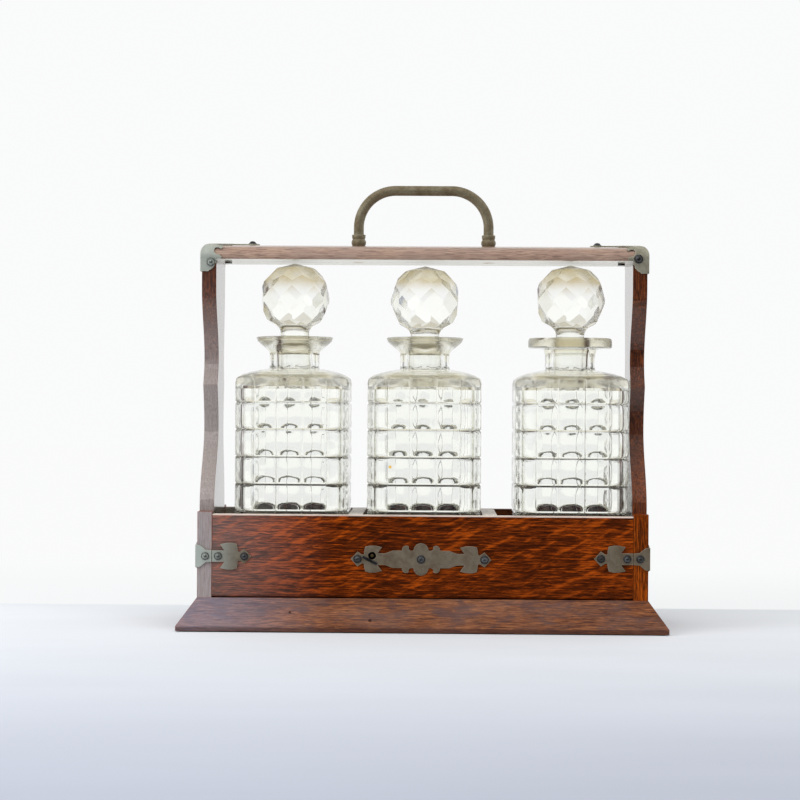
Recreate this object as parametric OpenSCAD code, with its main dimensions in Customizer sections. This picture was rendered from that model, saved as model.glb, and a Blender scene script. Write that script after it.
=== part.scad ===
// Antique tantalus: a locking oak frame for three square decanters.
// Millimetres, +Z up, front towards -Y, origin at the centre of the foot on the table.

/* [Plinth] */
// Length of the plinth along the front
plinth_w = 355; // [345:1:380]
// Depth of the plinth from front to back
plinth_d = 134; // [126:1:150]
// Height of the plinth above the table, cloth pad included
plinth_h = 23.7; // [18:0.1:32]
// How far the canted face runs inwards
plinth_out = 14; // [6:0.5:18]
// Height of the upright edge under the canted face
plinth_edge_h = 3.4; // [1.5:0.1:6]
// Thickness of the cloth pad under the plinth
pad_t = 0.8; // [0.5:0.1:2]
// How far the pad stays inside the plinth edge
pad_inset = 3; // [1:0.5:8]
// Thickness of the board inside the plinth
base_t = 10; // [6:0.5:14]

/* [Case] */
// Height of the front panel
panel_h = 60.2; // [52:0.1:70]
// Thickness of the front panel and the back board
panel_t = 8; // [7.6:0.1:9]
// Thickness of the end boards
end_t = 10.6; // [9:0.1:13]
// Depth of the corner posts from front to back
post_d = 14.5; // [12:0.5:18]
// How far the corner posts stand above the front panel
post_rise = 1.6; // [0:0.1:4]
// Thickness of the floor board
floor_t = 10.5; // [9.5:0.1:14]
// Thickness of the two dividers
divider_t = 10.4; // [8:0.1:12]
// Extra width of each outer bay over the middle one
side_room = 11.1; // [0:0.1:16]
// Thickness of the cloth lining on the floor
lining_t = 0.5; // [0.3:0.1:1]

/* [Frame] */
// Thickness of the top bar at its crown
bar_t = 12; // [10:0.1:16]
// Depth of the top bar from front to back
bar_d = 66; // [56:0.5:76]
// Radius of the bar's front and back nose
bar_nose_r = 8; // [5:0.5:9]
// Rise of the bar's crown over its nose
bar_crown = 2; // [1:0.1:3]
// Radius of the bar's rounded ends
bar_end_r = 8; // [4:0.5:9]
// Depth of the end board at its upper hollow, front half
waist_front = 12; // [10:0.5:20]
// Depth of the end board at its upper hollow, back half
waist_back = 28; // [20:0.5:30]
// Height of the cusp between the two hollows
cusp_z = 178.4; // [165:0.5:190]
// Depth of the cusp, front half
cusp_front = 19.5; // [18:0.5:26]

/* [Handle] */
// Distance between the centres of the two handle legs
handle_span = 97.2; // [80:0.2:110]
// How far the handle stands left of the middle
handle_shift = 0.9; // [0:0.1:3]
// Height of the handle above the bar's crown, to its centre line
handle_rise = 41.8; // [38:0.2:55]
// Diameter of the handle rod
handle_rod = 7.5; // [6:0.1:9]
// Radius of the handle's bends, to the centre line
handle_bend = 27.7; // [15:0.1:30]
// Width of the six-sided collars across the flats
collar_w = 9.4; // [9:0.1:12]
// Height of the six-sided collars
collar_h = 7; // [5:0.5:12]

/* [Decanters] */
// Height of a decanter's body up to the edge of its shoulder
decanter_body_h = 145.2; // [138:0.2:148]
// Width of the flat cut across each corner, along the side
corner_cut = 15.6; // [10:0.2:20]
// Height of the neck's foot above the shoulder edge
shoulder_h = 10.7; // [6:0.1:11]
// Depth of the cut grooves
groove_depth = 1.5; // [0.8:0.1:2]
// Distance between the level grooves
groove_pitch = 19.85; // [18:0.05:21]
// Number of level grooves
groove_rows = 7; // [5:1:7]
// Height of the lowest groove above the decanter's bottom
groove_start = 11.4; // [10:0.1:16]
// Wall of the glass
glass_wall = 6; // [4:0.1:8]
// Thickness of the glass bottom
glass_bottom = 13; // [8:0.5:18]
// Radius of the fluted neck
neck_r = 19.4; // [18:0.1:22]
// Height of the lip's top above the decanter's bottom
lip_h = 179.6; // [177:0.1:180]
// Radius of the lip of the left and middle decanters
lip_r = 28.7; // [25:0.1:32]
// Radius of the lip of the right decanter
lip_wide_r = 31.3; // [28:0.1:34]
// Diameter of the stopper ball, across its facets
ball_d = 49.4; // [44:0.2:50]
// Radius of the stopper's stem
stem_r = 11.2; // [9.5:0.1:13]
// Length of the ground plug inside the neck
plug_len = 24; // [15:0.5:30]
// Radius lost by the plug from its top to its end
plug_taper = 1.5; // [0.5:0.1:2]
// How far the left decanter stands right of its bay's middle
left_shift = 6.55; // [-6.5:0.05:6.7]
// How far the middle decanter stands right of its bay's middle
middle_shift = 0.6; // [-1:0.1:1]
// How far the right decanter stands right of its bay's middle
right_shift = 5.65; // [-6.5:0.05:6.7]
// Height of the left stopper's crown over the lip
stopper_left_rise = 55.1; // [51:0.1:60]
// Height of the middle stopper's crown over the lip
stopper_middle_rise = 53.6; // [51:0.1:60]
// Height of the right stopper's crown over the lip
stopper_right_rise = 54.8; // [51:0.1:60]

/* [Mounts] */
// Thickness of the sheet mounts
mount_t = 1.2; // [0.8:0.1:1.6]
// Radius of the round-headed studs
stud_r = 2.7; // [2:0.1:3.2]
// Radius of the studs' shanks
stud_shank_r = 0.8; // [0.6:0.1:1.2]
// Length of the studs' shanks
stud_len = 6; // [4:0.5:6]
// Radius of the larger studs on the corner mounts
corner_stud_r = 3.3; // [2.5:0.1:4]
// How far the corner mounts reach down the end boards
corner_drop = 9.2; // [6:0.2:14]
// Length of the corner mounts' tongue along the bar
tongue_len = 41; // [34:0.5:50]
// Height of the straps' middle line above the panel's bottom
strap_rise = 29.7; // [24:0.1:36]
// Distance of the lock plate's centre left of the middle
plate_shift = 1; // [0:0.1:4]
// How far the lock plate sits below the straps' middle line
plate_drop = 1.3; // [0:0.1:4]

/* [Lock] */
// Radius of the round keyhole
keyhole_r = 2.9; // [2.4:0.1:3.2]
// Radius of the pin inside the keyhole
lock_pin_r = 1.1; // [0.8:0.1:1.5]
// Width of the lock case
lock_w = 30; // [28:0.5:34]
// Height of the lock case
lock_h = 18; // [16:0.5:24]
// Depth of the lock case
lock_t = 5; // [4.6:0.1:5.4]
// Height of the bolt
bolt_h = 3.2; // [2.4:0.1:4]
// Thickness of the bolt
bolt_t = 1.8; // [1.4:0.1:2]
// How far the bolt shoots
bolt_throw = 6; // [5.6:0.1:6.4]

/* [Fits] */
// Gap at each end of the front panel
panel_gap = 0.35; // [0.3:0.05:0.8]
// Gap under the closed front panel
panel_lift = 0.4; // [0.3:0.05:0.8]
// Gap between the closed panel and what stands behind it
panel_back_gap = 0.4; // [0.35:0.05:1]
// Radius of the panel's hinge pins
pin_r = 1.4; // [1:0.1:1.5]
// Running gap around a hinge pin
pin_gap = 0.06; // [0.02:0.01:0.1]
// Gap between the middle decanter and each divider
bottle_side_gap = 1.5; // [0.8:0.1:3]
// Gap in front of and behind a decanter
bottle_end_gap = 2.7; // [1:0.1:4]
// Gap between the tallest stopper and the bar
bar_gap = 1.1; // [0.9:0.1:3]
// Gap between a decanter and its lining
rest_gap = 0.3; // [0.2:0.05:0.6]
// Gap around a stopper's ground plug
ground_gap = 0.06; // [0.02:0.01:0.1]
// Gap around the sliding bolt and the swinging cover
slide_gap = 0.3; // [0.2:0.05:0.4]

/* [Hidden] */
$fn = 40;
// a hair that carries cutting shapes past a face
over = 0.5;
oak = [0.42, 0.19, 0.09];
oak_dark = [0.34, 0.15, 0.08];
metal = [0.48, 0.48, 0.42];
bronze = [0.38, 0.34, 0.24];
brass = [0.70, 0.56, 0.30];
cloth = [0.13, 0.22, 0.15];
glass = [0.88, 0.90, 0.86];

// case
case_x = plinth_w / 2 - plinth_out;
case_y = plinth_d / 2 - plinth_out;
inner_x = case_x - end_t;
post_y = case_y - post_d;
rail_w = plinth_out + end_t;
panel_z = plinth_h + panel_lift;
panel_top = panel_z + panel_h;
post_top = panel_top + post_rise;
panel_in_y = -case_y + panel_t;
back_in_y = case_y - panel_t;
divider_y = panel_in_y + panel_back_gap;
floor_y = divider_y + panel_back_gap + 0.3;
floor_top = plinth_h + floor_t;
lining_top = floor_top + lining_t;
glass_z = lining_top + rest_gap;
strap_z = panel_z + strap_rise;
plate_x = -plate_shift;
plate_z = strap_z - plate_drop;

// bays and what stands in them
middle_bay = (2 * inner_x - 2 * divider_t - 2 * side_room) / 3;
divider_x = (middle_bay + divider_t) / 2;
side_bay_x = (divider_x + divider_t / 2 + inner_x) / 2;
decanter_w = middle_bay - 2 * bottle_side_gap;
decanter_d = back_in_y - panel_in_y - 2 * bottle_end_gap;
decanter_left_x = -side_bay_x + left_shift;
decanter_middle_x = middle_shift;
decanter_right_x = side_bay_x + right_shift;
tallest_rise = max(stopper_left_rise, stopper_middle_rise, stopper_right_rise);
bar_z = glass_z + lip_h + tallest_rise + bar_gap;

// hinge of the fall front, set forward so that the closed panel leans back
hinge_inset = 2.8;
hinge_y = -case_y + hinge_inset;
hinge_z = panel_z + hinge_inset + 0.1;
pin_in_post = 7;
pin_in_panel = 12;

// bar
bar_top = bar_z + bar_t;
nose_y = bar_d / 2 - bar_nose_r;
nose_z = bar_t - bar_crown - bar_nose_r;
crown_r = (nose_y * nose_y + bar_crown * bar_crown) / (2 * bar_crown);
bar_y = nose_y + sqrt(bar_nose_r * bar_nose_r - nose_z * nose_z);
screw_r = 1.9;
screw_head_r = 3.8;
screw_head_h = 2.6;
screw_len = 30;
screw_sink = 3.8;
screw_y = 15;
screw_x = case_x - end_t / 2;

// end boards, as half depths at heights above the table
foot_half = post_y;
top_half = bar_y;
lower_waist_front = waist_front - 1.7;
lower_waist_back = waist_back - 1;
cusp_back = waist_back + 3;
upper_waist_z = cusp_z + 19;
lower_waist_z = cusp_z - 31;
shoulder_z = bar_z - 20;
heel_z = post_top + 12;

// lock and keyhole, placed by the divider that carries the keep
keep_x = -divider_x;
lock_x = keep_x + 8;
keyhole_x = lock_x + 4.5;
keyhole_z = plate_z + 2.4;

// strap and plate outlines
diamond_x = plate_x - keyhole_x + 10.5;
diamond_a = 5;
diamond_b = 5.4;
arm_half = 4.2;
barb_back = 17.7;
barb_half = 9.8;
// outline of a barb, as shares of its reach and half width
barb_line = [
  [0.18, 0.33], [0.26, 0.33], [0.277, 0.61], [0.316, 0.91], [0.51, 1], [0.735, 0.99], [1, 0.88]
];
body_half = 6.3;
body_reach = 20.5;
taper_len = 5.5;
lobe_r = 5.4;
ear_x = 10.8;
ear_z = 6.9;
ear_r = 3;
bite_x = 7.2;
bite_z = 8.3;
bite_r = 1.8;
tail_half = 8.2;
tail_len = 9;
side_stud_in = 22;
case_screw_in = 4.6;
strap_len = 23.4;
strap_screw_in = 4.4;
under_nut_in = 16.3;
under_nut_h = 1.4;
under_nut_len = 5;
plate_y = -case_y - mount_t;
lock_back = panel_in_y;
cap_t = 1;
case_front = lock_back - cap_t - lock_t;
bolt_mid_y = lock_back - cap_t - slide_gap - bolt_t / 2;
keep_w = 2.6;
keep_h = 8;
keep_reach = 1.4;
keep_plate_t = 1.2;
keep_plate_h = 20;
keep_front = bolt_mid_y - bolt_t / 2 - keep_reach;
bolt_len = 12;
bolt_tip_x = keep_x + keep_w / 2 + 2 * slide_gap + 0.6;
slot_w = keep_w + 4 * slide_gap;
slot_h = keep_h + 6 * slide_gap;

// cover finger
cover_x = keyhole_x - 6.1;
cover_z = plate_z + 1.4;
cover_len = 11;
cover_w = 2;
cover_t = 1;
cover_angle = -27;
rivet_r = 0.8;

// glass
cant_half = (decanter_w / 2 + decanter_d / 2 - corner_cut) / sqrt(2);
neck_z = decanter_body_h + shoulder_h;
// distance of the flat that faces a bearing from +X
function flat_at(a) = a % 90 != 0 ? cant_half : (a % 180 == 0 ? decanter_w : decanter_d) / 2;
shoulder_inset = 7;
shoulder_step = 0.56 * shoulder_h;
ball_r = ball_d / 2;
// tilt, number of cuts round the ball and first bearing of each tier of facets
facet_tiers = [[0, 6, 0], [27, 12, 15], [54, 8, 0], [90, 1, 0]];

function ease(t) = (1 - cos(180 * t)) / 2;
function blend(a, b, z0, z1, n) = [
  for (i = [0 : n]) [a + (b - a) * ease(i / n), z0 + (z1 - z0) * i / n]
];
function hollow(a, b, z0, z1, n) = [
  for (i = [0 : n]) [a + (b - a) * (1 - cos(90 * i / n)), z0 + (z1 - z0) * i / n]
];
// half depth of an end board from its foot to the bar
function edge_line(low_waist, cusp, waist) = concat(
  [[foot_half, plinth_h]],
  blend(foot_half, low_waist, heel_z - 8, lower_waist_z, 14),
  [for (p = hollow(low_waist, cusp, lower_waist_z, cusp_z, 7)) if (p[1] > lower_waist_z + 1) p],
  [for (i = [1 : 5])
    [waist + (cusp - waist) * (1 - sin(90 * i / 5)), cusp_z + (upper_waist_z - cusp_z) * i / 5]],
  [for (p = blend(waist, top_half, upper_waist_z, shoulder_z, 12)) if (p[1] > upper_waist_z + 1) p],
  [[top_half, bar_z]]
);
function backwards(list) = [for (i = [len(list) - 1 : -1 : 0]) list[i]];

// block from two opposite corners
module block(a, b) {
  translate(a)
    cube(b - a);
}

// rod along X, Y or Z that starts at a point
module rod_x(p, r, l) {
  translate(p)
    rotate([0, 90, 0])
      cylinder(r = r, h = l);
}
module rod_y(p, r, l) {
  translate(p)
    rotate([-90, 0, 0])
      cylinder(r = r, h = l);
}
module rod_z(p, r, l) {
  translate(p)
    cylinder(r = r, h = l);
}

// round-headed stud, head towards +Z from the plane z = 0, shank below it
module stud(r, sink) {
  head = r * 0.62;
  ball = (r * r + head * head) / (2 * head);
  intersection() {
    translate([0, 0, head - ball])
      sphere(r = ball);
    cylinder(r = r + 1, h = head + 1);
  }
  rod_z([0, 0, -sink], stud_shank_r, sink);
}
module stud_front(x, y, z, r, sink = stud_len) {
  translate([x, y, z])
    rotate([90, 0, 0])
      stud(r, sink + mount_t);
}

// sheet outline standing in the front plane, from the plate face back to the wood
module sheet_front(y) {
  translate([0, y, 0])
    rotate([90, 0, 0])
      linear_extrude(height = mount_t)
        children();
}

// ---------- plinth ----------
module plinth_rail(length) {
  half = length / 2;
  intersection() {
    rotate([90, 0, 90])
      translate([0, 0, -half])
        linear_extrude(height = length)
          polygon([
            [0, pad_t],
            [0, pad_t + plinth_edge_h],
            [plinth_out, plinth_h],
            [rail_w, plinth_h],
            [rail_w, pad_t]
          ]);
    linear_extrude(height = plinth_h + over)
      polygon([[-half, 0], [half, 0], [half - rail_w, rail_w], [-half + rail_w, rail_w]]);
  }
}
module base_pad() {
  color(cloth)
    block(
      [-plinth_w / 2 + pad_inset, -plinth_d / 2 + pad_inset, 0],
      [plinth_w / 2 - pad_inset, plinth_d / 2 - pad_inset, pad_t]
    );
}
module plinth_front() {
  color(oak)
    translate([0, -plinth_d / 2, 0])
      plinth_rail(plinth_w);
}
module plinth_back() {
  color(oak)
    translate([0, plinth_d / 2, 0])
      rotate([0, 0, 180])
        plinth_rail(plinth_w);
}
module plinth_left() {
  color(oak)
    translate([-plinth_w / 2, 0, 0])
      rotate([0, 0, -90])
        plinth_rail(plinth_d);
}
module plinth_right() {
  color(oak)
    translate([plinth_w / 2, 0, 0])
      rotate([0, 0, 90])
        plinth_rail(plinth_d);
}
module base_board() {
  color(oak_dark)
    block(
      [-plinth_w / 2 + rail_w, -plinth_d / 2 + rail_w, plinth_h - base_t],
      [plinth_w / 2 - rail_w, plinth_d / 2 - rail_w, plinth_h]
    );
}

// ---------- case ----------
module end_board() {
  front = edge_line(lower_waist_front, cusp_front, waist_front);
  back = edge_line(lower_waist_back, cusp_back, waist_back);
  difference() {
    rotate([90, 0, 90])
      linear_extrude(height = end_t)
        polygon(concat(
          [for (p = front) [-p[0], p[1]]],
          backwards(back)
        ));
    for (y = [-screw_y, screw_y])
      rod_z([end_t / 2, y, bar_z - screw_len], screw_r, screw_len + over);
  }
}
module end_left() {
  color(oak)
    difference() {
      translate([-case_x, 0, 0])
        end_board();
      corner_stud_shanks();
      case_stud_shanks();
    }
}
module end_right() {
  color(oak)
    difference() {
      translate([inner_x, 0, 0])
        end_board();
      corner_stud_shanks();
      case_stud_shanks();
    }
}
module post(side) {
  mirror([side < 0 ? 1 : 0, 0, 0])
    block([inner_x, -case_y, plinth_h], [case_x, -post_y, post_top]);
}
module front_post(side) {
  mirror([side < 0 ? 1 : 0, 0, 0])
    difference() {
      post(1);
      rod_x([inner_x - over, hinge_y, hinge_z], pin_r + pin_gap, pin_in_post + over + slide_gap);
    }
}
module post_front_left() {
  color(oak)
    difference() {
      front_post(-1);
      case_stud_shanks();
    }
}
module post_front_right() {
  color(oak)
    difference() {
      front_post(1);
      case_stud_shanks();
    }
}
module post_back_left() {
  color(oak)
    mirror([0, 1, 0])
      post(-1);
}
module post_back_right() {
  color(oak)
    mirror([0, 1, 0])
      post(1);
}
module back_board() {
  color(oak)
    block([-inner_x, back_in_y, plinth_h], [inner_x, case_y, panel_top]);
}
module floor_board() {
  color(oak_dark)
    block([-inner_x, floor_y, plinth_h], [inner_x, back_in_y, floor_top]);
}
module divider() {
  block([-divider_t / 2, divider_y, floor_top], [divider_t / 2, back_in_y, panel_top]);
}
module divider_left() {
  color(oak)
    difference() {
      translate([-divider_x, 0, 0])
        divider();
      block(
        [keep_x - divider_t, divider_y - over, plate_z - keep_plate_h / 2],
        [keep_x + divider_t, divider_y + keep_plate_t, plate_z + keep_plate_h / 2]
      );
      keep_screw_shapes();
    }
}
module divider_right() {
  color(oak)
    translate([divider_x, 0, 0])
      divider();
}
module lining(x0, x1) {
  block([x0 + rest_gap, floor_y, floor_top], [x1 - rest_gap, back_in_y - rest_gap, lining_top]);
}
module lining_left() {
  color(cloth)
    lining(-inner_x, -divider_x - divider_t / 2);
}
module lining_middle() {
  color(cloth)
    lining(-divider_x + divider_t / 2, divider_x - divider_t / 2);
}
module lining_right() {
  color(cloth)
    lining(divider_x + divider_t / 2, inner_x);
}

// ---------- bar ----------
// bar with every upper surface moved out by grow
module bar_form(grow) {
  half = case_x + grow;
  intersection() {
    translate([-half, 0, bar_z])
      union() {
        for (s = [-1, 1])
          rod_x([0, s * nose_y, nose_z], bar_nose_r + grow, 2 * half);
        intersection() {
          rod_x([0, 0, bar_t - crown_r], crown_r + grow, 2 * half);
          block([0, -nose_y, 0], [2 * half, nose_y, bar_t + grow + over]);
        }
      }
    block([-half, -bar_d, bar_z], [half, bar_d, bar_top + grow + over]);
    union() {
      block(
        [-half + bar_end_r + grow, -bar_d, bar_z - over],
        [half - bar_end_r - grow, bar_d, bar_top + grow + over]
      );
      for (s = [-1, 1])
        translate([s * (case_x - bar_end_r), 0, 0]) {
          rod_y([0, -bar_d, bar_top - bar_end_r], bar_end_r + grow, 2 * bar_d);
          block(
            [-bar_end_r - grow, -bar_d, bar_z - over],
            [bar_end_r + grow, bar_d, bar_top - bar_end_r]
          );
        }
    }
  }
}
module top_bar() {
  color(oak)
    difference() {
      bar_form(0);
      for (s = [-1, 1])
        for (y = [-screw_y, screw_y]) {
          rod_z([s * screw_x, y, bar_z - over], screw_r, bar_t + 2 * over);
          rod_z([s * screw_x, y, bar_top - screw_sink - screw_head_h], screw_head_r, bar_t);
        }
      for (s = [-1, 1]) {
        rod_z([leg_x(s), 0, bar_z - over], tang_r, bar_t + 2 * over);
        rod_z([leg_x(s), 0, bar_z - over], nut_r, nut_h + over);
        rod_z([s * under_nut_x, 0, bar_z - over], stud_shank_r, under_nut_len + over);
      }
      corner_stud_shanks();
    }
}
module bar_screws() {
  color(brass)
    for (s = [-1, 1])
      for (y = [-screw_y, screw_y]) {
        rod_z([s * screw_x, y, bar_z - screw_len], screw_r, screw_len + bar_t - screw_sink - screw_head_h);
        rod_z([s * screw_x, y, bar_top - screw_sink - screw_head_h], screw_head_r, screw_head_h);
      }
}

// ---------- corner mounts ----------
tongue_w = 8;
tongue_end_r = 5.4;
lobe_in = 16;
centre_in = 21.5;
bay_in = 10.5;
under_nut_x = case_x - under_nut_in;
tongue_stud_x = case_x + mount_t - tongue_len + tongue_end_r;
front_stud_x = case_x - 6.7;
front_stud_left_z = bar_z - 2.4;
front_stud_right_z = bar_z + 1.4;
// the front heads lie on the roundest part of the bar's nose
front_stud_y = bar_d / 2 + mount_t + 0.05;

// plan of a right-hand corner mount
module corner_plan() {
  edge = case_x + mount_t;
  difference() {
    union() {
      translate([edge - lobe_in, -bar_d])
        square([lobe_in + over, 2 * bar_d]);
      translate([edge - centre_in, -17])
        square([centre_in, 34]);
      translate([edge - tongue_len + tongue_end_r, -tongue_w / 2])
        square([tongue_len - tongue_end_r, tongue_w]);
      translate([tongue_stud_x, 0])
        circle(r = tongue_end_r);
    }
    for (s = [-1, 1]) {
      translate([edge - lobe_in, s * 24])
        circle(r = lobe_in - bay_in);
      translate([edge - centre_in, s * 10])
        circle(r = 3.2);
    }
  }
}
module corner_mount() {
  edge = case_x + mount_t;
  difference() {
    union() {
      intersection() {
        difference() {
          bar_form(mount_t);
          bar_form(0);
        }
        translate([0, 0, bar_z - over])
          linear_extrude(height = bar_t + mount_t + 2 * over)
            corner_plan();
      }
      for (s = [-1, 1])
        rotate([90, 0, 0])
          translate([0, 0, s > 0 ? top_half : -top_half - mount_t])
            linear_extrude(height = mount_t)
              difference() {
                translate([inner_x, bar_z - corner_drop])
                  square([end_t + mount_t, corner_drop + 1.5]);
                translate([inner_x + end_t / 2 - 3, bar_z - corner_drop - 2.2])
                  circle(r = 3.4);
              }
      rotate([90, 0, 90])
        translate([0, 0, case_x])
          linear_extrude(height = mount_t)
            difference() {
              union() {
                translate([-top_half - mount_t, bar_z - corner_drop])
                  square([2 * top_half + 2 * mount_t, corner_drop + 1.5]);
                translate([0, bar_z - corner_drop])
                  circle(r = 9);
              }
              for (s = [-1, 1])
                translate([s * 18, bar_z - corner_drop - 2])
                  circle(r = 6.5);
            }
    }
    bar_form(0);
  }
}
// round heads of one corner mount: front, back and tongue
module corner_stud_set(side, z) {
  mirror([side < 0 ? 1 : 0, 0, 0]) {
    stud_front(front_stud_x, -front_stud_y, z, corner_stud_r);
    mirror([0, 1, 0])
      stud_front(front_stud_x, -front_stud_y, z, corner_stud_r);
    translate([tongue_stud_x, 0, bar_top + mount_t])
      stud(corner_stud_r, stud_len);
  }
}
module corner_stud_shanks() {
  for (s = [-1, 1])
    mirror([s < 0 ? 1 : 0, 0, 0]) {
      z = s < 0 ? front_stud_left_z : front_stud_right_z;
      for (y = [-front_stud_y, front_stud_y - stud_len - mount_t])
        rod_y([front_stud_x, y, z], stud_shank_r, stud_len + mount_t);
      rod_z([tongue_stud_x, 0, bar_top + mount_t - stud_len], stud_shank_r, stud_len);
    }
}
module corner_left() {
  color(metal)
    difference() {
      mirror([1, 0, 0])
        corner_mount();
      corner_stud_shanks();
    }
}
module corner_right() {
  color(metal)
    difference() {
      corner_mount();
      corner_stud_shanks();
    }
}
module corner_studs() {
  color(bronze) {
    corner_stud_set(-1, front_stud_left_z);
    corner_stud_set(1, front_stud_right_z);
  }
}
module under_nuts() {
  color(bronze)
    for (s = [-1, 1])
      translate([s * under_nut_x, 0, bar_z])
        rotate([180, 0, 0]) {
          cylinder(r = stud_r, h = under_nut_h);
          rod_z([0, 0, -under_nut_len], stud_shank_r, under_nut_len);
        }
}

// ---------- handle ----------
tang_r = 2.4;
nut_r = 4.2;
nut_h = 3;
flange_r = 5.4;
flange_h = 1.6;
handle_z = bar_top + handle_rise;
function leg_x(s) = s * handle_span / 2 - handle_shift;

module handle() {
  leg = handle_rise - handle_bend;
  color(bronze)
    translate([-handle_shift, 0, 0])
      union() {
        for (s = [-1, 1])
          mirror([s < 0 ? 1 : 0, 0, 0]) {
            rod_z([handle_span / 2, 0, bar_z + nut_h], tang_r, bar_t - nut_h);
            rod_z([handle_span / 2, 0, bar_top], handle_rod / 2, leg);
            translate([handle_span / 2 - handle_bend, 0, handle_z - handle_bend])
              rotate([90, 0, 0])
                rotate_extrude(angle = 90)
                  translate([handle_bend, 0])
                    circle(r = handle_rod / 2);
          }
        rod_x(
          [-handle_span / 2 + handle_bend, 0, handle_z],
          handle_rod / 2,
          handle_span - 2 * handle_bend
        );
      }
}
module six_sided(w, h) {
  intersection_for (a = [0, 60, 120])
    rotate([0, 0, a])
      translate([-w, -w / 2, 0])
        cube([2 * w, w, h]);
}
module handle_collars() {
  color(bronze)
    for (s = [-1, 1])
      translate([leg_x(s), 0, bar_top])
        difference() {
          union() {
            cylinder(r = flange_r, h = flange_h);
            translate([0, 0, flange_h])
              rotate([0, 0, 30])
                six_sided(collar_w, collar_h);
          }
          translate([0, 0, -over])
            cylinder(r = handle_rod / 2, h = collar_h + flange_h + 2 * over);
        }
}
module handle_nuts() {
  color(brass)
    for (s = [-1, 1])
      rod_z([leg_x(s), 0, bar_z], nut_r, nut_h);
}

// ---------- strapwork ----------
// right-hand end of a strap: anchor with barbs and a diamond tip, origin at the diamond
module strap_end(reach) {
  upper = concat(
    [for (p = barb_line) [-p[0] * barb_back, p[1] * barb_half]],
    [[-0.82 * barb_back, arm_half], [-reach, arm_half]]
  );
  polygon(concat(
    [[diamond_a, 0], [0, diamond_b]],
    upper,
    backwards([for (p = upper) [p[0], -p[1]]]),
    [[0, -diamond_b]]
  ));
}
module plate_arm() {
  arm_start = body_reach + taper_len;
  translate([diamond_x, 0])
    strap_end(diamond_x - arm_start + over);
  polygon([
    [-over, body_half], [body_reach, body_half], [arm_start, arm_half],
    [arm_start, -arm_half], [body_reach, -body_half], [-over, -body_half]
  ]);
}
module plate_solid() {
  for (t = [-1, 1])
    mirror([t < 0 ? 1 : 0, 0, 0])
      sheet_front(-case_y)
        translate([0, plate_z])
          plate_arm();
  for (s = [-1, 1]) {
    rod_y([0, plate_y, plate_z + s * body_half], lobe_r, mount_t);
    for (t = [-1, 1])
      rod_y([t * ear_x, plate_y, plate_z + s * ear_z], ear_r, mount_t);
  }
}
module lock_plate() {
  color(metal)
    difference() {
      translate([plate_x, 0, 0])
        plate_solid();
      for (s = [-1, 1])
        for (t = [-1, 1])
          rod_y(
            [plate_x + t * bite_x, plate_y - over, plate_z + s * bite_z],
            bite_r,
            mount_t + 2 * over
          );
      rod_y([keyhole_x, plate_y - over, keyhole_z], keyhole_r, mount_t + 2 * over);
      plate_stud_shanks();
      rod_y([cover_x, plate_y - over, cover_z], rivet_r, mount_t + 2 * over);
    }
}
plate_stud_xs = [plate_x - diamond_x, plate_x, plate_x + diamond_x];
// the lock lies close behind, so these shanks are short
plate_stud_len = panel_t - cap_t - lock_t - slide_gap;
module plate_stud_shanks() {
  for (x = plate_stud_xs)
    rod_y([x, plate_y, plate_z], stud_shank_r, plate_stud_len + mount_t);
}
module plate_studs() {
  color(bronze)
    for (x = plate_stud_xs)
      stud_front(x, plate_y, plate_z, stud_r, plate_stud_len);
}

// straps on the panel, from the seams inwards
panel_seam_x = inner_x - panel_gap;
strap_tip_x = panel_seam_x - strap_len;
strap_screw_x = panel_seam_x - strap_screw_in;
module panel_strap() {
  difference() {
    sheet_front(-case_y)
      translate([strap_tip_x, strap_z])
        mirror([1, 0])
          strap_end(strap_len);
    for (x = [strap_tip_x, strap_screw_x])
      rod_y([x, plate_y, strap_z], stud_shank_r, stud_len + mount_t);
  }
}
module strap_shanks() {
  for (s = [-1, 1])
    for (x = [strap_tip_x, strap_screw_x])
      rod_y([s * x, plate_y, strap_z], stud_shank_r, stud_len + mount_t);
}
module panel_strap_left() {
  color(metal)
    mirror([1, 0, 0])
      panel_strap();
}
module panel_strap_right() {
  color(metal)
    panel_strap();
}
module strap_studs() {
  color(bronze)
    for (s = [-1, 1])
      for (x = [strap_tip_x, strap_screw_x])
        stud_front(s * x, plate_y, strap_z, stud_r);
}

// strap that folds round the corner of the case, in the right-hand layout
case_screw_x = inner_x + case_screw_in;
side_stud_y = -case_y + side_stud_in;
module case_strap() {
  edge = case_x + mount_t;
  front = [
    [inner_x, arm_half], [inner_x + 0.38 * end_t, 1.05 * arm_half],
    [case_x - 0.19 * end_t, 0.98 * tail_half], [edge, tail_half]
  ];
  side = [[0, tail_half], [0.55 * tail_len, 0.9 * tail_half], [tail_len, arm_half]];
  sheet_front(-case_y)
    translate([0, strap_z])
      polygon(concat(front, backwards([for (p = front) [p[0], -p[1]]])));
  translate([case_x, plate_y, strap_z])
    rotate([90, 0, 90])
      linear_extrude(height = mount_t)
        union() {
          polygon(concat(side, backwards([for (p = side) [p[0], -p[1]]])));
          translate([mount_t + side_stud_in, 0])
            strap_end(mount_t + side_stud_in - tail_len + over);
        }
}
module case_stud_shanks() {
  for (s = [-1, 1]) {
    rod_y([s * case_screw_x, plate_y, strap_z], stud_shank_r, stud_len + mount_t);
    mirror([s < 0 ? 1 : 0, 0, 0])
      rod_x([case_x - stud_len, side_stud_y, strap_z], stud_shank_r, stud_len + mount_t);
  }
}
module case_strap_left() {
  color(metal)
    difference() {
      mirror([1, 0, 0])
        case_strap();
      case_stud_shanks();
    }
}
module case_strap_right() {
  color(metal)
    difference() {
      case_strap();
      case_stud_shanks();
    }
}
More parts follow.
